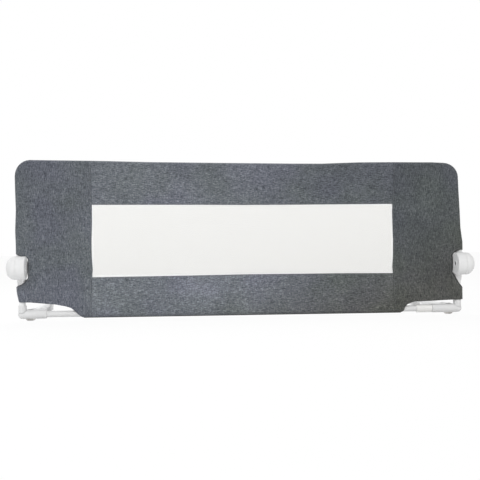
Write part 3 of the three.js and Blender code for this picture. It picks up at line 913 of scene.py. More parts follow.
@dataclass
class Cover:
    """The sewn cloth cover: one pocket round the frame, with a window and cut-aways at its ends."""

    half_width: float = 0.733
    hem: float = 0.0102
    top: float = 0.51
    corner: float = 0.05
    low_corner: float = 0.012
    window_half: float = 0.4935
    window_low: float = 0.14
    window_high: float = 0.37
    rail_round: float = 11.4 * MM
    side_round: float = 13.2 * MM
    seam_half: float = 1.35 * MM
    cloth: float = 0.8 * MM
    band_steps: int = 118
    end_steps: int = 104
    skin_rows: int = 24
    wrap_rows: int = 6
    hinge_reach: float = 0.038
    groove: float = 0.9 * MM
    groove_half: float = 1.3 * MM
    groove_gap: float = 3 * MM
    broad: float = 1.1 * MM
    pulled: float = 0.7 * MM
    pucker: float = 0.5 * MM
    pucker_reach: float = 0.014
    calm: float = 0.05
    calming: float = 4
    wobble: float = 0.5 * MM
    loose: float = 1.2 * MM
    loose_below: float = 0.1
    loose_over: float = 0.04
    least_slant: float = 0.35
    most_wrapped: float = 0.8
    cut_out: float = 0.03
    cut_deep: float = 0.04
    edge_shares: tuple[float, ...] = (0.0016, 0.0036, 0.0064)
    # Radii of the near-black edge tape, which is painted shadow.
    tape: float = 1.25 * MM
    hem_tape: float = 1.7 * MM
    topstitch: float = 6 * MM
    top_line: Profile = (
        (-0.733, 5.0), (-0.45, 1.8), (-0.3, -1.8), (0.0, -4.4), (0.15, -5.6), (0.258, -5.8), (0.345, -2.3),
        (0.385, -1.1), (0.5, -0.3), (0.64, -0.3), (0.69, -2.4), (0.733, -3.5),
    )
    left_line: Profile = (
        (0.06, -8.8), (0.078, -4.6), (0.094, -1.6), (0.12, -0.4), (0.2435, 0.0), (0.29, 1.6), (0.355, -1.2),
        (0.42, 0.8), (0.51, 2.5),
    )
    right_line: Profile = (
        (0.05, -1.4), (0.08, -1.6), (0.14, 0.0), (0.243, -0.3), (0.262, -3.2), (0.289, -6.8), (0.35, -9.2),
        (0.4165, -12.8), (0.467, -14.9),
    )
    window_top: Profile = ((-0.4935, 0.8), (-0.15, -0.2), (0.0, -1.3), (0.15, -0.9), (0.4935, 0.8))
    window_bottom: Profile = (
        (-0.4935, -2.2), (-0.3, -0.9), (-0.15, 0.3), (0.0, 1.9), (0.3, 1.9), (0.4935, 0.4)
    )
    window_left: Profile = (
        (0.14, 0.0), (0.163, -2.0), (0.205, 1.0), (0.255, 1.5), (0.31, -0.4), (0.36, -0.6), (0.37, 0.0)
    )
    window_right: Profile = (
        (0.14, 0.0), (0.16, -1.9), (0.2, 0.8), (0.25, 1.4), (0.3, -0.2), (0.345, -0.9), (0.37, 0.0)
    )

    def drum_cut(self, side: Side) -> list[tuple[float, float]]:
        """The cut-away round a drum, from its lower to its upper end, in X and height over the hinge.

        Args:
            side: The end.

        Returns:
            The points in metres, drawn for the right end.
        """
        if side is Side.RIGHT:
            lower = [
                (0.7272, -0.0793), (0.7156, -0.0658), (0.7072, -0.0523), (0.7015, -0.0425), (0.6965, -0.034),
                (0.6936, -0.028),
            ]
            upper = [(0.6934, 0.0265), (0.6985, 0.0348), (0.7062, 0.0411), (0.7195, 0.0448)]
        else:
            lower = [
                (0.7318, -0.064), (0.727, -0.058), (0.7151, -0.0543), (0.7058, -0.0481), (0.6985, -0.0395),
                (0.6934, -0.0325),
            ]
            upper = [(0.693, 0.0265), (0.6975, 0.033), (0.7085, 0.0358), (0.7176, 0.0368), (0.7284, 0.0428)]
        return lower + upper

    def end_cut(self, side: Side) -> list[tuple[float, float]]:
        """The cut-away over a corner moulding, from the hem out, in X and height.

        Args:
            side: The end.

        Returns:
            The points in metres, drawn for the right end.
        """
        if side is Side.RIGHT:
            low = [(0.5185, 0.0085), (0.5255, 0.0145), (0.5316, 0.0302), (0.5405, 0.0377)]
            return low + [(0.5577, 0.0437), (0.5645, 0.0453), (0.6226, 0.0471), (0.6946, 0.0502)]
        low = [(0.521, 0.0085), (0.5348, 0.0187), (0.5472, 0.0317), (0.5597, 0.0412)]
        return low + [(0.5754, 0.0464), (0.6097, 0.0533), (0.6378, 0.0556), (0.6845, 0.0606)]

    def shares(self, count: int) -> list[float]:
        """Even shares of a stretch, with a few close ones at its first and last seam."""
        even = [step / count for step in range(count)]
        return sorted(even + list(self.edge_shares) + [1 - share for share in self.edge_shares])

    def border(self) -> list[Station]:
        """Walks round the pocket from its top left seam."""
        return self.band(self.top, 1) + self.end(1) + self.band(self.hem, -1) + self.end(-1)

    def band(self, edge: float, way: int) -> list[Station]:
        """Steps along the top or bottom band.

        Args:
            edge: The band's outer height.
            way: 1 along the top, to the right, and -1 along the hem, to the left.

        Returns:
            The steps.
        """
        steps = []
        for share in self.shares(self.band_steps):
            x = way * self.window_half * (2 * share - 1)
            outer = edge + self.off(self.top_line, x) if way > 0 else edge
            steps.append(
                (Vector((x, outer)), Vector((0, -way)), Vector((x, self.window_height(x, way))), False)
            )
        return steps

    def off(self, line: Profile, place: float) -> float:
        """How far the taut cloth draws an edge out of its straight line."""
        places, distances = zip(*line)
        return float(np.interp(place, places, distances)) * MM

    def window_height(self, x: float, way: int) -> float:
        """Height of the window's upper or lower edge.

        Args:
            x: Place along the rail.
            way: 1 for the upper edge and -1 for the lower.

        Returns:
            The height.
        """
        return self.window_high + self.off(
            self.window_top, x
        ) if way > 0 else self.window_low + self.off(self.window_bottom, x)

    def window_side(self, z: float, way: int) -> float:
        """X of the window's left or right edge."""
        return way * (self.window_half + self.off(self.window_right if way > 0 else self.window_left, z))

    def end(self, way: int) -> list[Station]:
        """Steps round one end panel, from its first seam to its second.

        Args:
            way: 1 for the right end, walked downward, and -1 for the left, walked upward.

        Returns:
            The steps.
        """
        first, last = (self.corner, self.low_corner) if way > 0 else (self.low_corner, self.corner)
        start, finish = (self.top, self.hem) if way > 0 else (self.hem, self.top)
        lengths = [
            self.half_width - first - self.window_half,
            math.pi / 2 * first,
            abs(finish - start) - first - last,
            math.pi / 2 * last,
            self.half_width - last - self.window_half,
        ]
        total = sum(lengths)
        down = math.copysign(1, finish - start)
        steps = []
        for share in self.shares(self.end_steps):
            run = total * share
            corners = [self.window_height(way * self.window_half, height) for height in (way, -way)]
            height = corners[0] + (corners[1] - corners[0]) * share
            point, normal = self.turn(run, lengths, first, last, start, down)
            reach = (point.x - self.window_half) / (self.half_width - self.corner - self.window_half)
            point.y += self.off(self.top_line, way * point.x) * max(0.0, -normal.y) * float(
                point.y > self.window_high
            )
            point.x += self.off(
                self.right_line if way > 0 else self.left_line, point.y
            ) * min(1.0, max(0.0, reach))
            window = Vector((self.window_side(height, way), height))
            steps.append((Vector((way * point.x, point.y)), Vector((way * normal.x, normal.y)), window, True))
        return steps

    def turn(
        self, run: float, lengths: Sequence[float], first: float, last: float, start: float, down: float
    ) -> tuple[Vector, Vector]:
        """A point on the outer line of an end panel, drawn for the right end.

        Args:
            run: Distance along the line.
            lengths: The lengths of its five stretches.
            first: Radius of the first corner.
            last: Radius of the last corner.
            start: Height of the first edge.
            down: The direction of the walk along Z.

        Returns:
            The point and its inward normal.
        """
        side = self.half_width
        if run < lengths[0]:
            return Vector((self.window_half + run, start)), Vector((0, down))
        run -= lengths[0]
        if run < lengths[1]:
            angle = run / first
            normal = Vector((-math.sin(angle), down * math.cos(angle)))
            return Vector((side - first, start + down * first)) - normal * first, normal
        run -= lengths[1]
        if run < lengths[2]:
            return Vector((side, start + down * (first + run))), Vector((-1, 0))
        run -= lengths[2]
        finish = start + down * (first + lengths[2] + last)
        if run < lengths[3]:
            angle = run / last
            normal = Vector((-math.cos(angle), -down * math.sin(angle)))
            return Vector((side - last, finish - down * last)) - normal * last, normal
        run -= lengths[3]
        return Vector((side - last - run, finish)), Vector((0, -down))

    def ripple(self, x: float, z: float, face: float) -> float:
        """How far the skin stands out of its taut plane.

        Args:
            x: Place along the rail.
            z: Height.
            face: -1 in front and 1 at the back.

        Returns:
            The distance in metres.
        """
        broad = wave(x * 3.1, z * 5.0, face * 3.7) * self.broad
        pulled = wave(x * 2.0 + z * 9.0, z * 3.0, face + 11.0) * self.pulled
        apart = max(abs(x) - self.window_half, self.window_low - z, z - self.window_high, 0.0)
        pucker = wave(x * 55.0, z * 55.0, face * 5.0) * self.pucker
        loose = (broad + pulled) * min(1.0, apart / self.calm) + pucker * math.exp(-apart / self.pucker_reach)
        beside = abs(abs(x) - self.window_half)
        seam = self.groove * math.exp(-((beside / self.groove_half) ** 2)) if apart > self.groove_gap else 0.0
        return loose - seam

    def ring(self, station: Station) -> list[Vector]:
        """One ring of points across the pocket: front skin, round the tube, back skin.

        Args:
            station: A step of the border.

        Returns:
            The points in the row frame.
        """
        edge, normal, window, in_end = station
        wobble = wave(edge.x * 6.0, edge.y * 6.0, 2.0) * self.wobble
        edge = edge + normal * (self.wobble + wobble)
        radius = self.rail_round + (self.side_round - self.rail_round) * abs(normal.x)
        if in_end and edge.y < self.loose_below:
            radius += self.loose * min(1.0, (self.loose_below - edge.y) / self.loose_over)
        line = window - edge
        slant = max(self.least_slant, line.normalized().dot(normal))
        tangent = min(self.most_wrapped, radius / (line.length * slant))
        half = []
        for row in range(self.skin_rows):
            share = row / self.skin_rows
            point = window + (edge + line * tangent - window) * share
            depth = self.seam_half + (radius - self.seam_half) * share
            half.append((point, depth, min(1.0, self.calming * (1 - share))))
        for row in range(self.wrap_rows):
            angle = math.pi / 2 * row / self.wrap_rows
            point = edge + line * tangent * (1 - math.sin(angle))
            half.append((point, radius * math.cos(angle), 0.0))
        points = [self.lifted(point, depth, loose, -1.0) for point, depth, loose in half]
        points.append(Vector((edge.x, TUBE_PLANE, edge.y)))
        points += [self.lifted(point, depth, loose, 1.0) for point, depth, loose in reversed(half)]
        return points

    def lifted(self, point: Vector, depth: float, loose: float, face: float) -> Vector:
        """A point of a skin."""
        lift = depth + loose * self.ripple(point.x, point.y, face)
        return Vector((point.x, TUBE_PLANE + face * max(lift, self.seam_half), point.y))

    def skin(self) -> Piece:
        """The whole pocket as one skin, shaped from a grid that is closed into a ring.

        Returns:
            The open skin.
        """
        stations = self.border()
        rings = [self.ring(station) for station in stations]
        rows, steps = len(rings[0]), len(rings)
        deselect()
        bpy.ops.mesh.primitive_grid_add(x_subdivisions=steps, y_subdivisions=rows - 1, size=1)
        piece = bpy.context.object
        piece.data.materials.append(BAND_CLOTH.material())
        piece.data.materials.append(END_CLOTH.material())
        places = [rings[step % steps][row] for row in range(rows) for step in range(steps + 1)]
        piece.data.vertices.foreach_set("co", np.array(places, np.float32).ravel())
        for face in piece.data.polygons:
            step = min(index % (steps + 1) for index in face.vertices)
            wrapped = {index % (steps + 1) for index in face.vertices} == {0, steps}
            face.material_index = int(stations[0 if wrapped else step][3])
        piece.data.update()
        outward(piece, MERGE)
        return piece

    def cutters(self) -> list[Piece]:
        """Solids that cut the ends away round the drums and over the corner mouldings.

        Returns:
            The four solids.
        """
        beyond, under, solids = self.half_width + self.cut_out, -0.02, []
        for side in Side:
            drum = [(x, HINGE.z + rise) for x, rise in self.drum_cut(side)]
            drum = [(beyond, drum[0][1] - 3 * MM), *drum, (beyond, drum[-1][1] + 1.5 * MM)]
            end = self.end_cut(side)
            corner = [(end[0][0] - 2 * MM, under), *end, (beyond, end[-1][1] + 2 * MM), (beyond, under)]
            for outline in (drum, corner):
                outline = [(side.value * x, z) for x, z in outline]
                solids.append(plate(outline, Flat.XZ, TUBE_PLANE - self.cut_deep, TUBE_PLANE + self.cut_deep))
        return solids

    def build(self) -> Piece:
        """Makes the cover with its edge tape and stitching.

        Returns:
            The cover.
        """
        piece = self.skin()
        walled(piece, self.cloth)
        combined(piece, self.cutters(), Work.CUT)
        hang(piece, "cover", BAND_CLOTH, ["cover_upper", "cover_lower"])
        trims = Trim(self, piece).build()
        return piece


def bead(points: Sequence[Vector], radius: float, sides: int = 2, closed: bool = True) -> Piece:
    """A round bead along a line of points.

    Args:
        points: The line.
        radius: The bead's radius.
        sides: Blender's bevel resolution round it.
        closed: Whether its ends are capped.

    Returns:
        The bead.
    """
    curve = bpy.data.curves.new("bead", "CURVE")
    curve.dimensions = "3D"
    curve.bevel_depth, curve.bevel_resolution, curve.use_fill_caps = radius, sides, closed
    spline = curve.splines.new("POLY")
    spline.points.add(len(points) - 1)
    for knot, point in zip(spline.points, points):
        knot.co = (*point, 1)
    piece = bpy.data.objects.new("bead", curve)
    bpy.context.scene.collection.objects.link(piece)
    pick(piece)
    bpy.ops.object.convert(target="MESH")
    return bpy.context.object


def joined(pieces: Sequence[Piece]) -> Piece:
    """Joins objects into the first.

    Args:
        pieces: The objects.

    Returns:
        The first, holding them all.
    """
    pick(pieces[0])
    for piece in pieces:
        piece.select_set(True)
    bpy.ops.object.join()
    piece = bpy.context.object
    settle(piece)
    return piece


@dataclass
class Trim:
    """The cover's edge tape, near-black as painted shadow, and stitching, laid on the finished cloth."""

    cover: Cover
    cloth: Piece
    step: float = 2.5 * MM
    pitch: float = 4.6 * MM
    stitch: float = 3.2 * MM
    thread: float = 0.36 * MM
    inset: float = 0.7 * MM
    seam_side: float = 4 * MM
    seam_steps: int = 10
    seam_top: float = 10 * MM
    seam_foot: float = 8 * MM
    hem_line: float = 9 * MM
    hem_ends: tuple[float, float] = (-0.515, 0.51)
    hem_steps: int = 60
    left_share: float = 0.7
    probe: float = 0.1

    def lay(self, tree: BVHTree, place: Vector, face: float) -> tuple[Vector, Vector] | None:
        """Finds the cloth in front of or behind a place.

        Args:
            tree: The cloth's faces.
            place: X and Z.
            face: -1 in front and 1 at the back.

        Returns:
            The point and its normal, or nothing where the cloth is cut away.
        """
        start = Vector((place.x, TUBE_PLANE + face * self.probe, place.y))
        hit, normal, _, _ = tree.ray_cast(start, Vector((0, -face, 0)), self.probe)
        return None if hit is None else (hit, normal if normal.y * face > 0 else -normal)

    def spaced(self, line: Sequence[Vector], step: float) -> list[Vector]:
        """Even points along a line.

        Args:
            line: Its corners.
            step: The distance between the points.

        Returns:
            The points.
        """
        runs = [0.0]
        for first, second in zip(line, line[1:]):
            runs.append(runs[-1] + (second - first).length)
        count = max(2, round(runs[-1] / step))
        places = np.linspace(0, runs[-1], count + 1)
        columns = [np.interp(places, runs, [point[axis] for point in line]) for axis in (0, 1)]
        return [Vector(place) for place in zip(*columns)]

    def cut_lines(self, inset: float) -> list[list[Vector]]:
        """Lines along the cut-aways, a little inside the cloth.

        Args:
            inset: The distance from the cut edge.

        Returns:
            The lines in X and Z.
        """
        lines = []
        for side in Side:
            drum = [(x, HINGE.z + rise) for x, rise in self.cover.drum_cut(side)]
            for outline in (drum, self.cover.end_cut(side)):
                way = side.value if outline[0][1] > 0.05 else -side.value
                points = self.spaced([Vector((side.value * x, z)) for x, z in outline], self.step)
                courses = [after - before for before, after in zip(points, points[2:])]
                courses = [points[1] - points[0], *courses, points[-1] - points[-2]]
                inward = [Vector((-course.y, course.x)).normalized() * way * inset for course in courses]
                lines.append([point + step for point, step in zip(points, inward)])
        return lines

    def seam_lines(self) -> list[list[Vector]]:
        """Lines of stitching round the window, beside the seams and along the hem and cut-aways.

        Returns:
            The lines in X and Z.
        """
        cover, out = self.cover, self.seam_side
        lines = []
        for way in (1, -1):
            steps = self.seam_steps
            across = [cover.window_half * step / steps for step in range(-steps, steps + 1)]
            spread = 1 + out / cover.window_half
            lines.append([Vector((x * spread, cover.window_height(x, way) + way * out)) for x in across])
            opening = cover.window_high - cover.window_low
            heights = [cover.window_low + opening * step / steps for step in range(steps + 1)]
            lines.append([Vector((cover.window_side(z, way) + way * out, z)) for z in heights])
            seam = way * (cover.window_half + out)
            lines.append(
                [Vector((seam, cover.window_high + 2 * out)), Vector((seam, cover.top - self.seam_top))]
            )
            lines.append(
                [Vector((seam, cover.hem + self.seam_foot)), Vector((seam, cover.window_low - 2 * out))]
            )
        lines.append([Vector((x, cover.hem + self.hem_line)) for x in self.hem_ends])
        return lines + self.cut_lines(cover.topstitch)

    def tapes(self, tree: BVHTree) -> Piece:
        """Makes the tape on the cut edges and along the hem; its near-black finish is painted shadow under the
        cloth's edges.

        Args:
            tree: The cloth's faces.

        Returns:
            The tape.
        """
        beads = []
        for line in self.cut_lines(self.inset):
            for face in (-1.0, 1.0):
                laid = [self.lay(tree, place, face) for place in line]
                points = [found[0] for found in laid if found]
                # The tape is thinner at the left end, for a fainter painted shadow line there.
                beads.append(bead(points, self.cover.tape * (self.left_share if line[0].x < 0 else 1.0), 1))
        left, right = (side.value * self.cover.end_cut(side)[0][0] for side in Side)
        places = [left + (right - left) * step / self.hem_steps for step in range(self.hem_steps + 1)]
        hem = [Vector((x, TUBE_PLANE - 1 * MM, self.cover.hem - 0.1 * MM)) for x in places]
        beads.append(bead(hem, self.cover.hem_tape, 1))
        return joined(beads)

    def stitches(self, tree: BVHTree) -> Piece:
        """Makes one stitch and lays its copies along the seams.

        Args:
            tree: The cloth's faces.

        Returns:
            The stitching.
        """
        half = self.stitch / 2
        master = turned([(0, -half), (self.thread, -0.7 * half), (self.thread, 0.7 * half), (0, half)], sides=6)
        laid = [master]
        for line in self.seam_lines():
            for face in (-1.0, 1.0):
                points = self.spaced(line, self.pitch)
                for first, second in zip(points, points[1:]):
                    ends = [self.lay(tree, first.lerp(second, share), face) for share in (0.15, 0.85)]
                    if None in ends:
                        continue
                    (begin, normal), (finish, _) = ends
                    copy = master.copy()
                    copy.data = master.data.copy()
                    bpy.context.scene.collection.objects.link(copy)
                    turn = (finish - begin).to_track_quat("Z", "Y").to_matrix().to_4x4()
                    copy.matrix_world = Matrix.Translation(
                        (begin + finish) / 2 + normal * self.thread * 0.3
                    ) @ turn
                    laid.append(copy)
        laid.remove(master)
        bpy.data.objects.remove(master)
        return joined(laid)

    def build(self) -> list[Piece]:
        """Makes the tape and the stitching.

        Returns:
            Both pieces.
        """
        mesh = self.cloth.data
        tree = BVHTree.FromPolygons(
            [vertex.co for vertex in mesh.vertices], [tuple(face.vertices) for face in mesh.polygons]
        )
        tape = hang(self.tapes(tree), "cover_shadow_tape", EDGE_SHADOW_TAPE)
        stitching = hang(self.stitches(tree), "cover_stitching", GREY_THREAD)
        return [tape, stitching]


def hang(piece: Piece, name: str, finish: Finish, nodes: Sequence[str] = ()) -> Piece:
    """Names a piece of the cover, keeps its rest places for the cloth's pattern and shades it smooth.

    Args:
        piece: The piece.
        name: Its name.
        finish: Its finish.
        nodes: The CAD nodes that it stands for.

    Returns:
        The piece.
    """
    named(piece, name, finish)
    places = np.array([vertex.co for vertex in piece.data.vertices], np.float32)
    piece.data.attributes.new(CLOTH_PLACE, "FLOAT_VECTOR", "POINT").data.foreach_set("vector", places.ravel())
    pick(piece)
    bpy.ops.object.shade_smooth_by_angle(angle=math.radians(50))
    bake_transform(piece)
    entered(piece, nodes)
    return piece


@dataclass
class Window:
    """The net in the cover's window."""

    cover: Cover
    tuck: float = 5 * MM
    thread: float = 0.4 * MM
    cell: float = 9 * MM
    calm: float = 0.04
    slack: float = 1.2 * MM

    def build(self) -> Piece:
        """Makes the net, a little slack between its seams.

        Returns:
            The net.
        """
        half = self.cover.window_half + self.tuck
        low, high = self.cover.window_low - self.tuck, self.cover.window_high + self.tuck
        deselect()
        bpy.ops.mesh.primitive_grid_add(
            x_subdivisions=round(2 * half / self.cell),
            y_subdivisions=round((high - low) / self.cell),
            size=1,
            location=(0, TUBE_PLANE, (low + high) / 2),
            rotation=(math.pi / 2, 0, 0),
        )
        piece = bpy.context.object
        piece.scale = (2 * half, high - low, 1)
        settle(piece)
        for vertex in piece.data.vertices:
            x, _, z = vertex.co
            inside = min(half - abs(x), z - low, high - z) - self.tuck
            vertex.co.y += min(1.0, max(0.0, inside) / self.calm) * wave(x * 4.0, z * 7.0, 5.0) * self.slack
        walled(piece, self.thread)
        hang(piece, "window_net", WINDOW_NET, ["window_net_upper", "window_net_lower"])
        return piece


# Upper frame


@dataclass
class UpperFrame:
    """The tubes inside the cover: the taut cloth pulls the top rail down and one side tube in a little."""

    cover: Cover
    radius: float = TUBE_RADIUS
    wall: float = TUBE_WALL
    height: float = 0.4987
    side_x: float = SIDE_X
    foot: float = 0.2011
    straight: float = 0.245
    bend: float = 38 * MM
    splice: float = SPLICE
    taper: float = 4 * MM
    spigot: float = 8.4 * MM
    spigot_end: float = 0.41
    snap_x: float = SNAP_X
    snap_hole: float = BOLT_BORE
    heights: tuple[float, ...] = (0.22, 0.245, 0.27, 0.3, 0.35, 0.4, 0.43)
    reaches: tuple[float, ...] = (0.64, 0.6, 0.52, 0.44)

    def sag(self, x: float) -> float:
        """How far the top rail hangs below its straight line."""
        return min(0.0, self.cover.off(self.cover.top_line, x))

    def hole(self, x: float) -> Piece:
        """Cutter for a snap button's hole in the underside."""
        return bar(self.snap_hole, -0.02, 0, Axis.Z, (x, TUBE_PLANE, self.height), 24)

    def top_rail(self) -> None:
        """Makes the top rail with its drawn-down ends."""
        straight = self.splice - self.taper
        outside = [(self.spigot, -self.spigot_end), (self.spigot, -self.splice)]
        outside += [(self.radius, straight * share / 12) for share in range(-12, 13)]
        outside += [(self.spigot, self.splice), (self.spigot, self.spigot_end)]
        inside = [(radius - self.wall, x) for radius, x in reversed(outside)]
        piece = turned(outside + inside + outside[:1], Axis.X, (0, TUBE_PLANE, self.height), 32)
        for vertex in piece.data.vertices:
            vertex.co.z += self.sag(vertex.co.x)
        combined(piece, [self.hole(way * self.snap_x) for way in (-1, 1)], Work.CUT)
        dressed(piece, "top_rail", WHITE_COAT, "rail", ["top_tube"])

    def side_tube(self, side: Side) -> None:
        """Makes one side tube, bent over into the top rail.

        Args:
            side: Its end.
        """
        line = self.cover.right_line if side is Side.RIGHT else ((0.0, 0.0), (1.0, 0.0))
        points = []
        low = self.height - self.bend
        for z in (self.foot, *self.heights, low):
            points.append(
                (self.side_x + min(0.0, self.cover.off(line, z) + 0.3 * MM) * float(z > self.straight), z)
            )
        top = points[-1][0]
        curve = arc((top - self.bend, low), self.bend, 10, 90, 8)
        points += [(x, z + self.sag(side.value * x) * (z - low) / self.bend) for x, z in curve]
        points += [(x, self.height + self.sag(side.value * x)) for x in (*self.reaches, self.splice + 0.6 * MM)]
        piece = bead([Vector((side.value * x, TUBE_PLANE, z)) for x, z in points], self.radius, 6, False)
        walled(piece, self.wall, -1)
        outward(piece)
        combined(piece, [self.hole(side.value * self.snap_x)], Work.CUT)
        dressed(piece, side.node("side_tube"), WHITE_COAT, "rail", [side.node("corner_tube")])

    def build(self) -> None:
        """Makes the tubes."""
        self.top_rail()
        for side in Side:
            self.side_tube(side)


@dataclass
class EndPart:
    """A sub-assembly of one end of the rail."""

    side: Side

    def fitted(
        self, piece: Piece, name: str, finish: Finish, node: str, body: str = "base", smooth: float = 35
    ) -> Piece:
        """Dresses a piece in place of one of this end's CAD nodes."""
        return dressed(piece, self.side.node(name), finish, body, [self.side.node(node)], smooth)


# Drum hinges


@dataclass
class DrumHinge(EndPart):
    """A round folding hinge: fixed half, moving half, their necks for the tubes, and the push button."""

    radius: float = 36.4 * MM
    face: float = 0.6947
    seam: float = 0.723
    end: float = 0.7445
    button_end: float = 0.754
    seam_gap: float = 0.15 * MM
    back_off: float = 0.4 * MM
    root_depth: float = 2.4 * MM
    wall: float = 5.3 * MM
    edge: float = 3.4 * MM
    round_in: float = 7.6 * MM
    round_deep: float = 15 * MM
    boss: float = 11 * MM
    dish: float = 1.4 * MM
    rim: float = 4 * MM
    recess: float = 7.4 * MM
    recess_depth: float = 6.6 * MM
    bore: float = BOLT_BORE
    hub_end: float = 0.7078
    teeth: int = 12
    tooth_root: float = 22.3 * MM
    tooth_tip: float = 25.3 * MM
    tooth_depth: float = 5.4 * MM
    web: float = 2.5 * MM
    lip: float = 1.8 * MM
    button: float = 27.4 * MM
    button_play: float = 0.3 * MM
    flange: float = 2.4 * MM
    flange_thick: float = 1.2 * MM
    dome_in: float = 15 * MM
    dome_deep: float = 9 * MM
    leg: float = 3 * MM
    leg_circle: float = 15 * MM
    neck: float = 12 * MM
    neck_start: float = 2 * MM
    neck_end: float = 68 * MM
    neck_bore: float = TUBE_BORE
    throat: float = 14.3 * MM
    throat_x: float = 0.7151
    throat_end: float = 57 * MM
    throat_flat: float = 0.84
    tube_stop: float = 29.5 * MM
    post_x: float = POST_X
    tube_x: float = SIDE_X
    rib: float = 7 * MM
    rib_near: float = 8 * MM
    rib_back: float = 23 * MM
    rib_rise: tuple[float, float, float] = (32.1 * MM, 2 * MM, 38 * MM)
    burr: float = 0.4 * MM
    sweep_room: float = 0.6 * MM
    beyond: float = 0.02
    tooth_shares: tuple[float, float] = (0.227, 0.157)

    @property
    def centre(self) -> Vector:
        """The middle of the axis, at X zero."""
        return Vector((0, HINGE.y, HINGE.z))

    def round_part(self, profile: Profile, sides: int = 80) -> Piece:
        """Turns a profile on the hinge's axis."""
        return turned([(radius, self.side.value * x) for radius, x in profile], Axis.X, self.centre, sides)

    def neck_part(self, x: float, way: int) -> Piece:
        """The sleeve for a tube behind the drum.

        Args:
            x: The tube's X, drawn for the right end.
            way: 1 upward and -1 downward.

        Returns:
            The sleeve.
        """
        burr = 0.7 * MM
        profile = [
            (0, self.neck_start), (self.neck, self.neck_start), (self.neck, self.neck_end - burr),
            (self.neck - burr, self.neck_end),
        ]
        profile += [(self.neck_bore + burr / 2, self.neck_end), (self.neck_bore, self.neck_end - burr / 2)]
        profile += [(self.neck_bore, self.tube_stop), (0, self.tube_stop)]
        place = (self.side.value * x, TUBE_PLANE, HINGE.z)
        return turned([(radius, way * at) for radius, at in profile], Axis.Z, place, 56)

    def rib_part(self, start: float, way: int) -> Piece:
        """The rib between a drum and its sleeve.

        Args:
            start: Its first face's X, drawn for the right end.
            way: 1 upward and -1 downward.

        Returns:
            The rib.
        """
        places = zip((self.rib_near, self.rib_back, self.rib_back), self.rib_rise)
        outline = [(HINGE.y + back, HINGE.z + way * rise) for back, rise in places]
        return plate(outline, Flat.YZ, self.side.value * start, self.side.value * (start + self.rib))

    def throat_part(self) -> Piece:
        """The wider throat over the lower sleeve, flattened so that it fits inside the cloth.

        Returns:
            The throat.
        """
        top, taper, wall = -12 * MM, 12 * MM, 1 * MM
        profile = [(0, top), (self.throat, top), (self.throat, taper - self.throat_end)]
        profile += [(self.neck + 0.2 * MM, -self.throat_end), (0, -self.throat_end)]
        throat = turned(profile, Axis.Z, (self.side.value * self.throat_x, TUBE_PLANE, HINGE.z), 56)
        for vertex in throat.data.vertices:
            vertex.co.y = TUBE_PLANE + (vertex.co.y - TUBE_PLANE) * self.throat_flat
        place = (self.side.value * self.post_x, TUBE_PLANE, HINGE.z)
        bore = bar(self.neck - wall, wall - self.tube_stop, -0.1, Axis.Z, place, 56)
        return combined(throat, [bore], Work.CUT)

    def grown(self, piece: Piece, parts: Sequence[Piece], sweep: Profile) -> None:
        """Joins a sleeve and its ribs to a drum half, clear of its hollow and of the other half.

        Args:
            piece: The half.
            parts: The parts to join.
            sweep: Profile of the room that the other half turns in.
        """
        combined(parts[0], parts[1:], Work.JOIN)
        core = rod(self.radius - self.root_depth, self.face - self.beyond, self.end + self.beyond)
        combined(parts[0], [self.round_part(sweep, 76), self.round_part(core, 84)], Work.CUT)
        combined(piece, parts[:1], Work.JOIN)

    def tooth_ring(self, start: float, end: float) -> Piece:
        """Cutter for the ring of tooth spaces.

        Args:
            start: Its first X, drawn for the right end.
            end: Its last X.

        Returns:
            The cutter.
        """
        outline, root = [], self.tooth_root - 0.5 * MM
        step, (wide, narrow) = 360 / self.teeth, self.tooth_shares
        for tooth in range(self.teeth):
            for share, radius in ((-wide, root), (-narrow, self.tooth_tip), (narrow, self.tooth_tip), (wide, root)):
                angle = math.radians(step * (tooth + share))
                outline.append((HINGE.y + radius * math.cos(angle), HINGE.z + radius * math.sin(angle)))
        start, end = self.side.value * start, self.side.value * end
        ring = plate(outline, Flat.YZ, start, end)
        middle = bar(self.tooth_root - 1 * MM, 2 * start - end, 2 * end - start, Axis.X, self.centre, 64)
        return combined(ring, [middle], Work.CUT)

    def fixed_half(self) -> Piece:
        """Makes the half that stays on the post, with the bolt's boss in its dished face.

        Returns:
            The piece.
        """
        near, burr = self.face, self.burr
        profile = [
            (self.bore, near + self.recess_depth), (self.recess, near + self.recess_depth),
            (self.recess, near + burr),
        ]
        profile += [
            (self.recess + burr, near), (self.boss - burr, near), (self.boss, near + burr),
            (self.boss + burr, near + self.dish),
        ]
        inner_rim = self.radius - self.rim
        profile += [
            (inner_rim - 2 * burr, near + self.dish), (inner_rim, near + burr), (inner_rim + burr, near)
        ]
        profile += [
            (self.radius - self.edge + r, near + self.edge + z) for r, z in arc((0, 0), self.edge, -90, 0, 6)
        ]
        seam = self.seam - self.seam_gap
        profile += [
            (self.radius, seam - 0.5 * MM), (self.radius - 0.5 * MM, seam), (self.bore, seam), profile[0]
        ]
        piece = self.round_part(profile)
        floor, beyond = near + self.wall, self.seam + 0.01
        sweep = rod(self.radius + self.sweep_room, seam - self.back_off, beyond)
        parts = [
            self.neck_part(self.post_x, -1), self.rib_part(self.post_x - self.rib / 2, -1), self.throat_part()
        ]
        hollow = [
            (0, self.hub_end), (self.boss, self.hub_end), (self.boss, floor), (self.tooth_root, floor),
            (self.tooth_root, beyond), (0, beyond),
        ]
        combined(piece, [self.round_part(hollow), self.tooth_ring(floor + 0.1 * MM, beyond + 1 * MM)], Work.CUT)
        self.grown(piece, parts, sweep)
        return self.fitted(piece, "drum_fixed_half", WHITE_PLASTIC, "hinge_inner_housing")

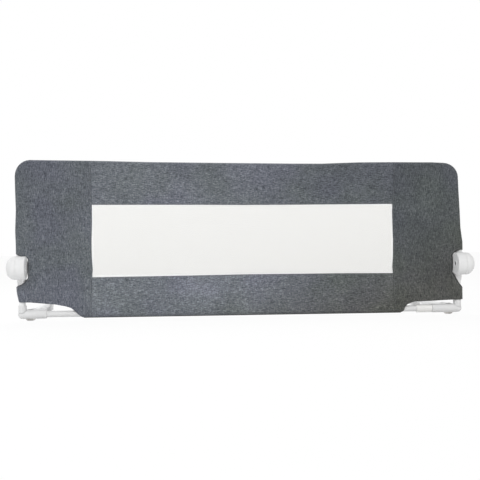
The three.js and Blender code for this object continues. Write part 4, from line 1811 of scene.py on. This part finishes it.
    def moving_half(self) -> Piece:
        """Makes the half that swings with the rail, with the opening for the button.

        Returns:
            The piece.
        """
        seam, burr = self.seam + self.seam_gap, self.burr
        profile = [(0, seam), (self.radius - 0.5 * MM, seam), (self.radius, seam + 0.5 * MM)]
        profile += dome(self.radius, self.end, self.round_in, self.round_deep, 8)
        profile.append((0, self.end))
        piece = self.round_part(profile)
        sweep = rod(self.radius + self.sweep_room, self.seam - 0.03, seam + self.back_off)
        web_end, opening = seam + self.tooth_depth + self.web, self.button + self.button_play
        room = self.button + self.flange + 0.6 * MM
        hollow = [
            (0, web_end), (room, web_end), (room, self.end - self.lip), (opening, self.end - self.lip),
            (opening, self.end - burr),
        ]
        hollow += [(opening + 2 * burr, self.end + burr), (0, self.end + burr)]
        depth = seam + self.tooth_depth
        toothed = rod(self.tooth_root, self.seam - 0.01, depth)
        shaft = rod(self.bore, self.seam - self.beyond, self.end)
        cutters = [self.round_part(part, sides) for part, sides in ((toothed, 80), (hollow, 80), (shaft, 66))]
        cutters.append(self.tooth_ring(self.seam - 0.008, depth - 0.1 * MM))
        cutters += self.legs(self.leg + 0.6 * MM, seam - 1 * MM, self.end)
        combined(piece, cutters, Work.CUT)
        self.grown(piece, [self.neck_part(self.tube_x, 1), self.rib_part(seam, 1)], sweep)
        return self.fitted(piece, "drum_moving_half", WHITE_PLASTIC, "hinge_outer_housing", "rail")

    def legs(self, radius: float, start: float, end: float) -> list[Piece]:
        """The button's three legs, or cutters for their holes.

        Args:
            radius: Their radius.
            start: Their first X, drawn for the right end.
            end: Their last X.

        Returns:
            The legs.
        """
        near, far = self.side.value * start, self.side.value * end
        places = arc((HINGE.y, HINGE.z), self.leg_circle, 1, 241, 2)
        return [bar(radius, near, far, Axis.X, (0, y, z), 20) for y, z in places]

    def push_button(self) -> Piece:
        """Makes the domed button with its thumb hollow, flange and legs.

        Returns:
            The piece.
        """
        under = self.end - self.lip - 0.3 * MM
        inner, top = under - self.flange_thick, self.button_end
        reach, room = self.button + self.flange, 22 * MM
        profile = [
            (0, top - 3.5 * MM), (room, top - 3.5 * MM), (room, inner), (reach, inner), (reach, under),
            (self.button, under),
        ]
        profile += dome(self.button, top, self.dome_in, self.dome_deep, 10)
        hollow = 13.5 * MM
        profile += [
            (hollow * share, top - 0.9 * MM * (1 - share * share)) for share in (1.0, 0.85, 0.65, 0.4, 0.0)
        ]
        piece = self.round_part(profile)
        combined(piece, self.legs(self.leg, self.seam, top - 1.75 * MM), Work.JOIN)
        return self.fitted(piece, "push_button", WHITE_PLASTIC, "release_button", self.side.node("button"), 50)

    def build(self) -> None:
        """Makes the hinge."""
        self.fixed_half()
        self.moving_half()
        self.push_button()


# Corner mouldings, tubes and arms


@dataclass
class CornerMoulding(EndPart):
    """The moulded corner: sleeve for the cross tube, ball-ended post socket and the arm's tongue."""

    post_x: float = POST_X
    height: float = LOW_HEIGHT
    sleeve: float = 14 * MM
    sleeve_in: float = 0.637
    long_sleeve_in: float = 0.6245
    tube_stop: float = 0.698
    tube_bore: float = TUBE_BORE
    post: float = 13 * MM
    ball_height: float = 32 * MM
    ball_gap: float = 2.2 * MM
    core: float = 8 * MM
    core_low: float = 15 * MM
    post_top: float = 50 * MM
    post_stop: float = 34 * MM
    rings: tuple[float, ...] = (36.2 * MM, 40.4 * MM, 44.6 * MM)
    ring_half: float = 0.8 * MM
    ring_deep: float = 0.7 * MM
    pivot_x: float = PIVOT_X
    pivot_back: float = PIVOT_BACK
    tongue: float = 16 * MM
    tongue_half: float = 5 * MM
    bolt_bore: float = BOLT_BORE

    @property
    def inner_end(self) -> float:
        """X of the sleeve's inner end: the right sleeve is longer in the photograph."""
        return self.long_sleeve_in if self.side is Side.RIGHT else self.sleeve_in

    def along(self, profile: Profile, sides: int = 56) -> Piece:
        """Turns a profile on the cross tube's axis.

        Args:
            profile: Radius and X, drawn for the right end.
            sides: The number of sides.

        Returns:
            The solid.
        """
        return turned(
            [(radius, self.side.value * x) for radius, x in profile], Axis.X, (0, TUBE_PLANE, self.height),
            sides,
        )

    def upright(self, profile: Profile, x: float, back: float = 0.0, sides: int = 56) -> Piece:
        """Turns a profile on an upright axis."""
        return turned(profile, Axis.Z, (self.side.value * x, TUBE_PLANE + back, 0), sides)

    def socket(self) -> Piece:
        """Makes the ball-ended socket with rings round it.

        Returns:
            The solid.
        """
        ball = [(radius, self.ball_height + height) for radius, height in arc((0, 0), self.post, -90, 0, 12)]
        profile = [(0, ball[0][1])] + ball[1:]
        for ring in self.rings:
            low, high = ring - self.ring_half, ring + self.ring_half
            profile += [(self.post, low), (self.post - self.ring_deep, ring - self.ring_half / 3)]
            profile += [(self.post - self.ring_deep, ring + self.ring_half / 3), (self.post, high)]
        burr = 0.7 * MM
        profile += [
            (self.post, self.post_top - burr), (self.post - burr, self.post_top),
            (self.tube_bore + burr / 2, self.post_top),
        ]
        profile += [
            (self.tube_bore, self.post_top - burr / 2), (self.tube_bore, self.post_stop), (0, self.post_stop)
        ]
        return self.upright(profile, self.post_x)

    def build(self) -> Piece:
        """Makes the moulding.

        Returns:
            The piece.
        """
        burr, groove = 1.8 * MM, 0.5 * MM
        profile = [
            (0, self.inner_end), (self.sleeve - burr, self.inner_end), (self.sleeve, self.inner_end + burr)
        ]
        for ridge in range(3):
            at = self.inner_end + (5 + 4 * ridge) * MM
            shape = ((0, 0), (groove, 0.4 * MM), (groove, 1.2 * MM), (0, 1.6 * MM))
            profile += [(self.sleeve - deep, at + on) for deep, on in shape]
        profile += [
            (radius, self.post_x + x) for x, radius in reversed(arc((0, 0), self.sleeve, 0, 90, 12))
        ][:-1]
        profile.append((0, self.post_x + self.sleeve))
        piece = self.along(profile)
        side, back = self.side.value, TUBE_PLANE + self.pivot_back
        outline = arc((side * self.pivot_x, back), self.tongue, 0, 180, 24)
        outline += [
            (side * self.pivot_x - self.tongue, TUBE_PLANE), (side * self.pivot_x + self.tongue, TUBE_PLANE)
        ]
        tongue = bevelled(
            plate(outline, Flat.XY, self.height - self.tongue_half, self.height + self.tongue_half), 0.8 * MM
        )
        combined(piece, [tongue], Work.JOIN)
        cup = [(r, self.ball_height + z) for r, z in arc((0, 0), self.post + self.ball_gap, -90, 90, 20)]
        cup = self.upright([(0, cup[0][1]), *cup[1:-1], (0, cup[-1][1])], self.post_x)
        hole = self.upright(rod(self.bolt_bore, -0.01, 0.06), self.pivot_x, self.pivot_back, 32)
        combined(piece, [cup, hole], Work.CUT)
        core = self.upright(rod(self.core, self.core_low, self.ball_height), self.post_x)
        combined(piece, [core], Work.JOIN)
        start = self.inner_end - 2 * MM
        combined(piece, [self.along(rod(self.tube_bore, start, self.tube_stop))], Work.CUT)
        combined(piece, [self.socket()], Work.JOIN)
        return self.fitted(piece, "corner_moulding", WHITE_PLASTIC, "corner_bracket")


@dataclass
class BaseTubes(EndPart):
    """The tubes that show below the cover, with the sleeve that the right one carries."""

    radius: float = TUBE_RADIUS
    wall: float = TUBE_WALL
    height: float = LOW_HEIGHT
    splice: float = SPLICE
    tube_end: float = 0.6977
    post_x: float = POST_X
    post_low: float = 34.3 * MM
    post_high: float = 141.2 * MM
    snap_x: float = SNAP_X
    snap_hole: float = BOLT_BORE
    collar: float = 13.4 * MM
    collar_in: float = 0.571
    collar_out: float = 0.6235
    collar_bore: float = 10.3 * MM

    def build(self) -> None:
        """Makes the tubes and the sleeve."""
        side = self.side.value
        level = (0, TUBE_PLANE, self.height)
        piece = tube(self.radius, self.wall, side * self.splice, side * self.tube_end, Axis.X, level)
        hole = bar(self.snap_hole, 0, 0.02, Axis.Z, (side * self.snap_x, TUBE_PLANE, self.height), 24)
        combined(piece, [hole], Work.CUT)
        self.fitted(piece, "cross_rail_end", WHITE_COAT, "cross_end_tube")
        piece = tube(
            self.radius, self.wall, self.post_low, self.post_high, Axis.Z, (side * self.post_x, TUBE_PLANE, 0)
        )
        self.fitted(piece, "short_post", WHITE_COAT, "lower_post")
        if self.side is Side.RIGHT:
            self.sleeve(level)

    def sleeve(self, level: Sequence[float]) -> None:
        """Makes the second sleeve, with a rounded edge at each end.

        Args:
            level: The cross tube's axis.
        """
        edge = 2.0 * MM
        profile = [(self.collar_bore, self.collar_in), (self.collar - edge, self.collar_in)]
        profile += [
            (self.collar - edge + r, self.collar_in + edge + x) for r, x in arc((0, 0), edge, -90, 0, 4)
        ]
        profile += [
            (self.collar - edge + r, self.collar_out - edge + x) for r, x in arc((0, 0), edge, 0, 90, 4)
        ]
        profile += [(self.collar_bore, self.collar_out), (self.collar_bore, self.collar_in)]
        self.fitted(turned(profile, Axis.X, level, 56), "tube_sleeve", WHITE_PLASTIC, "tube_collar")


@dataclass
class FoldingArm(EndPart):
    """An arm for under the mattress: forked knuckle, tube, ribbed grip, and the bolt and foot of its pivot."""

    x: float = PIVOT_X
    height: float = LOW_HEIGHT
    pivot_back: float = PIVOT_BACK
    ear: float = 16 * MM
    ear_half: float = 12.3 * MM
    slot_half: float = 5.3 * MM
    web: float = 17 * MM
    knuckle: float = 13 * MM
    socket_end: float = 60 * MM
    tube_stop: float = 27 * MM
    bore: float = TUBE_BORE
    bolt_bore: float = BOLT_BORE
    reach: float = 410 * MM
    grip_width: float = 30 * MM
    grip_height: float = 36 * MM
    grip_length: float = 42 * MM
    grip_wall: float = 4.5 * MM
    grooves: int = 4

    @property
    def body(self) -> str:
        """The CAD body of the swinging arm."""
        return self.side.node("arm")

    def place(self, back: float = 0.0, height: float = 0.0) -> tuple[float, float, float]:
        """A point in the arm's upright plane."""
        return (self.side.value * self.x, TUBE_PLANE + back, height)

    def fork(self) -> Piece:
        """Makes the knuckle.

        Returns:
            The piece.
        """
        x, y, _ = self.place(self.pivot_back)
        outline = arc((x, y), self.ear, 180, 360, 28) + [
            (x + self.knuckle, y + 30 * MM), (x - self.knuckle, y + 30 * MM)
        ]
        piece = bevelled(
            plate(outline, Flat.XY, self.height - self.ear_half, self.height + self.ear_half), 1.2 * MM, 3
        )
        taper = 3 * MM
        profile = [
            (0, self.web), (self.knuckle, self.web), (self.knuckle, self.socket_end - taper),
            (self.knuckle - taper / 6, self.socket_end - taper / 2),
        ]
        profile += [(self.knuckle - taper / 2, self.socket_end), (0, self.socket_end)]
        level = (x, y, self.height)
        combined(piece, [turned(profile, Axis.Y, level, 56)], Work.JOIN)
        wide = self.ear + 4 * MM
        slot = block(
            (x - wide, y - wide, self.height - self.slot_half),
            (x + wide, y + self.web, self.height + self.slot_half),
        )
        bolt = bar(self.bolt_bore, 0, 0.05, Axis.Z, (x, y, 0), 32)
        socket = bar(self.bore, self.tube_stop, self.socket_end + 0.01, Axis.Y, level, 56)
        combined(piece, [slot, bolt, socket], Work.CUT)
        return self.fitted(piece, "knuckle", WHITE_PLASTIC, "arm_knuckle", self.body)

    def grip(self) -> Piece:
        """Makes the soft grip on the tip, flat below, with grooves across its top.

        Returns:
            The piece.
        """
        x, half, top = self.side.value * self.x, self.grip_width / 2, self.grip_height
        round_low, round_high = 4 * MM, 8 * MM
        outline = arc((x + half - round_low, round_low), round_low, -90, 0, 6)
        outline += arc((x + half - round_high, top - round_high), round_high, 0, 90, 10)
        outline += arc((x - half + round_high, top - round_high), round_high, 90, 180, 10)
        outline += arc((x - half + round_low, round_low), round_low, 180, 270, 6)
        start, tip = TUBE_PLANE + self.reach - self.grip_length, TUBE_PLANE + self.reach
        piece = bevelled(plate(outline, Flat.XZ, start, tip), 1.4 * MM, 3, 60)
        pitch = self.grip_length / (self.grooves + 1)
        cutters = []
        for groove in range(self.grooves):
            middle = start + pitch * (groove + 1)
            low = (x - half - 1 * MM, middle - 1.5 * MM, top - 1.2 * MM)
            high = (x + half + 1 * MM, middle + 1.5 * MM, top + 2 * MM)
            cutters.append(block(low, high, 0.4 * MM))
        cutters.append(bar(self.bore, start - 0.01, tip - self.grip_wall, Axis.Y, (x, 0, self.height), 56))
        combined(piece, cutters, Work.CUT)
        return self.fitted(piece, "mattress_grip", GRIP_RUBBER, "arm_foot", self.body)

    def pivot(self) -> None:
        """Makes the upright bolt and the foot below it."""
        centre = self.place(self.pivot_back)
        head, crown, shaft = 34.6 * MM, 36.8 * MM, 4 * MM
        profile = [(0, 4.7 * MM), (shaft, 4.7 * MM), (shaft, head), (7.6 * MM, head), (8 * MM, head + 0.3 * MM)]
        profile += [(8 * MM, head + 1.0 * MM), (7.4 * MM, crown - 0.5 * MM), (5.6 * MM, crown - 0.1 * MM)]
        profile += [(4 * MM, crown), (0, crown)]
        bolt = turned(profile, Axis.Z, centre, 48)
        key = bar(2.6 * MM, crown - 1.2 * MM, crown + 2 * MM, Axis.Z, centre, 6)
        combined(bolt, [key], Work.CUT)
        self.fitted(bolt, "pivot_pin", ZINC, "pivot_bolt")
        rim = ((0, 0), (9.6, 0), (11.4, 0.3), (12.6, 1.4), (16.6, 6.4), (17, 7.4), (17, 8.8), (16.4, 9.4))
        profile = [(radius * MM, height * MM) for radius, height in rim]
        profile += [(self.bolt_bore, 9.4 * MM), (self.bolt_bore, 4.4 * MM), (0, 4.4 * MM)]
        foot = turned(profile, Axis.Z, centre, 56)
        self.fitted(foot, "round_foot", WARM_RUBBER, "pivot_foot")

    def build(self) -> None:
        """Makes the arm."""
        self.fork()
        start, end = self.pivot_back + self.tube_stop + 0.3 * MM, self.reach - self.grip_wall - 0.3 * MM
        piece = tube(TUBE_RADIUS, TUBE_WALL, start, end, Axis.Y, self.place(height=self.height))
        self.fitted(piece, "arm_bar", WHITE_COAT, "arm_tube", self.body)
        self.grip()
        self.pivot()


# Studio


@dataclass
class Studio:
    """Floor, lamps and the camera at the photograph's angle."""

    camera_place: tuple[float, float, float] = (-0.2411, -2.65186, 0.25)
    yaw: float = 0.09036
    pitch: float = 0.00167
    roll: float = -0.00755
    focal_pixels: float = 762.83
    sensor: float = 36.0
    daylight: float = 0.6
    floor_size: float = 24
    floor_color: Color = (0.86, 0.86, 0.86)
    floor_white: float = 0.93
    aim_height: float = 0.25

    def camera(self) -> None:
        """Sets the camera."""
        data = bpy.data.cameras.new("camera")
        data.sensor_width = self.sensor
        data.lens = self.focal_pixels / IMAGE_PIXELS * self.sensor
        data.clip_start, data.clip_end = 0.05, 50
        camera = bpy.data.objects.new("camera", data)
        bpy.context.scene.collection.objects.link(camera)
        level = Vector((math.cos(self.yaw), -math.sin(self.yaw), 0))
        level_share = math.cos(self.pitch)
        ahead = Vector(
            (math.sin(self.yaw) * level_share, math.cos(self.yaw) * level_share, math.sin(self.pitch))
        )
        above = level.cross(ahead)
        right = level * math.cos(self.roll) + above * math.sin(self.roll)
        up = above * math.cos(self.roll) - level * math.sin(self.roll)
        matrix = Matrix((right, up, -ahead)).transposed().to_4x4()
        matrix.translation = self.camera_place
        camera.matrix_world = matrix
        bpy.context.scene.camera = camera

    def floor(self) -> None:
        """Lays a pale floor that keeps the rail's shadow."""
        deselect()
        bpy.ops.mesh.primitive_plane_add(size=self.floor_size)
        floor = bpy.context.object
        floor.name = "floor"
        nodes = NodeTree(bpy.data.materials.new("studio_floor"))
        nodes.put(nodes.shader, "Base Color", (*self.floor_color, 1))
        nodes.put(nodes.shader, "Roughness", 0.9)
        self.seen_white(nodes, "Emission", self.floor_white)
        floor.data.materials.append(nodes.owner)

    def seen_white(self, nodes: NodeTree, kind: str, share: float) -> None:
        """Shows the camera, and what mirrors it, mostly white in place of what the lamps light.

        Args:
            nodes: The tree.
            kind: The type of the plain white node.
            share: How much of what is seen is plain white.
        """
        path = nodes.add("LightPath").outputs
        seen = path["Is Camera Ray"]
        for ray in ("Is Glossy Ray", "Is Transmission Ray"):
            seen = nodes.math("MAXIMUM", seen, path[ray])
        part = nodes.math("MULTIPLY", seen, share)
        white = nodes.add(kind, {"Color": (1, 1, 1, 1), "Strength": 1.0})
        mixed = nodes.add("MixShader", {"0": part, "1": nodes.shader.outputs[0], "2": white.outputs[0]})
        nodes.put(nodes.output, "Surface", mixed.outputs[0])

    def world(self) -> None:
        """Surrounds the rail with soft light that the camera sees as white."""
        world = bpy.data.worlds.new("studio")
        bpy.context.scene.world = world
        nodes = NodeTree(world)
        nodes.put(nodes.shader, "Color", (1, 1, 1, 1))
        nodes.put(nodes.shader, "Strength", self.daylight)
        self.seen_white(nodes, "Background", 1.0)

    def lamp(
        self, name: str, place: Sequence[float], power: float, size: float, color: Sequence[float]
    ) -> None:
        """Adds a soft square lamp that faces the rail.

        Args:
            name: Its name.
            place: Its place.
            power: Its power in watts.
            size: Its width.
            color: Its colour.
        """
        data = bpy.data.lights.new(name, "AREA")
        data.energy, data.size, data.color = power, size, color
        lamp = bpy.data.objects.new(name, data)
        bpy.context.scene.collection.objects.link(lamp)
        lamp.location = place
        aim = Vector((0, TUBE_PLANE, self.aim_height)) - Vector(place)
        lamp.rotation_euler = aim.to_track_quat("-Z", "Y").to_euler()

    def build(self) -> None:
        """Sets up the whole studio."""
        self.camera()
        self.floor()
        self.world()
        self.lamp("key", (-1.2, -2.4, 2.3), 34, 1.6, (0.98, 0.99, 1.0))
        self.lamp("fill", (2.0, -2.4, 1.2), 13, 2.0, (1.0, 0.99, 0.96))
        self.lamp("top", (-0.6, 0.9, 2.3), 32, 1.6, (1.0, 1.0, 1.0))
        bpy.context.scene.view_settings.view_transform = "Standard"


NODE_FINISHES = {
    finish.slot: finish
    for finish in (
        WHITE_COAT,
        WHITE_PLASTIC,
        GEAR_PLASTIC,
        ZINC,
        BRIGHT_WIRE,
        BAND_CLOTH,
        WINDOW_NET,
        WARM_RUBBER,
        GRIP_RUBBER,
    )
}


def finish_nodes() -> None:
    """Gives every CAD node its finish."""
    slots = {row["node"]: row["material_slot"] for row in frame["record"]["subparts"]}
    for name, node in frame["nodes"].items():
        node.data.materials.clear()
        finish = BLACK_ZINC if name.startswith(("axle_nut", "hinge_axle")) else NODE_FINISHES[slots[name]]
        node.data.materials.append(finish.material())


def main() -> None:
    """Builds the studio and the rail's pieces in order."""
    logging.basicConfig(level=logging.INFO, format="%(message)s")
    Studio().build()
    finish_nodes()
    cover = Cover()
    UpperFrame(cover).build()
    cover.build()
    Window(cover).build()
    for side in Side:
        for part in (DrumHinge(side), CornerMoulding(side), BaseTubes(side), FoldingArm(side)):
            part.build()
    deselect()


if __name__ == "__main__":
    main()
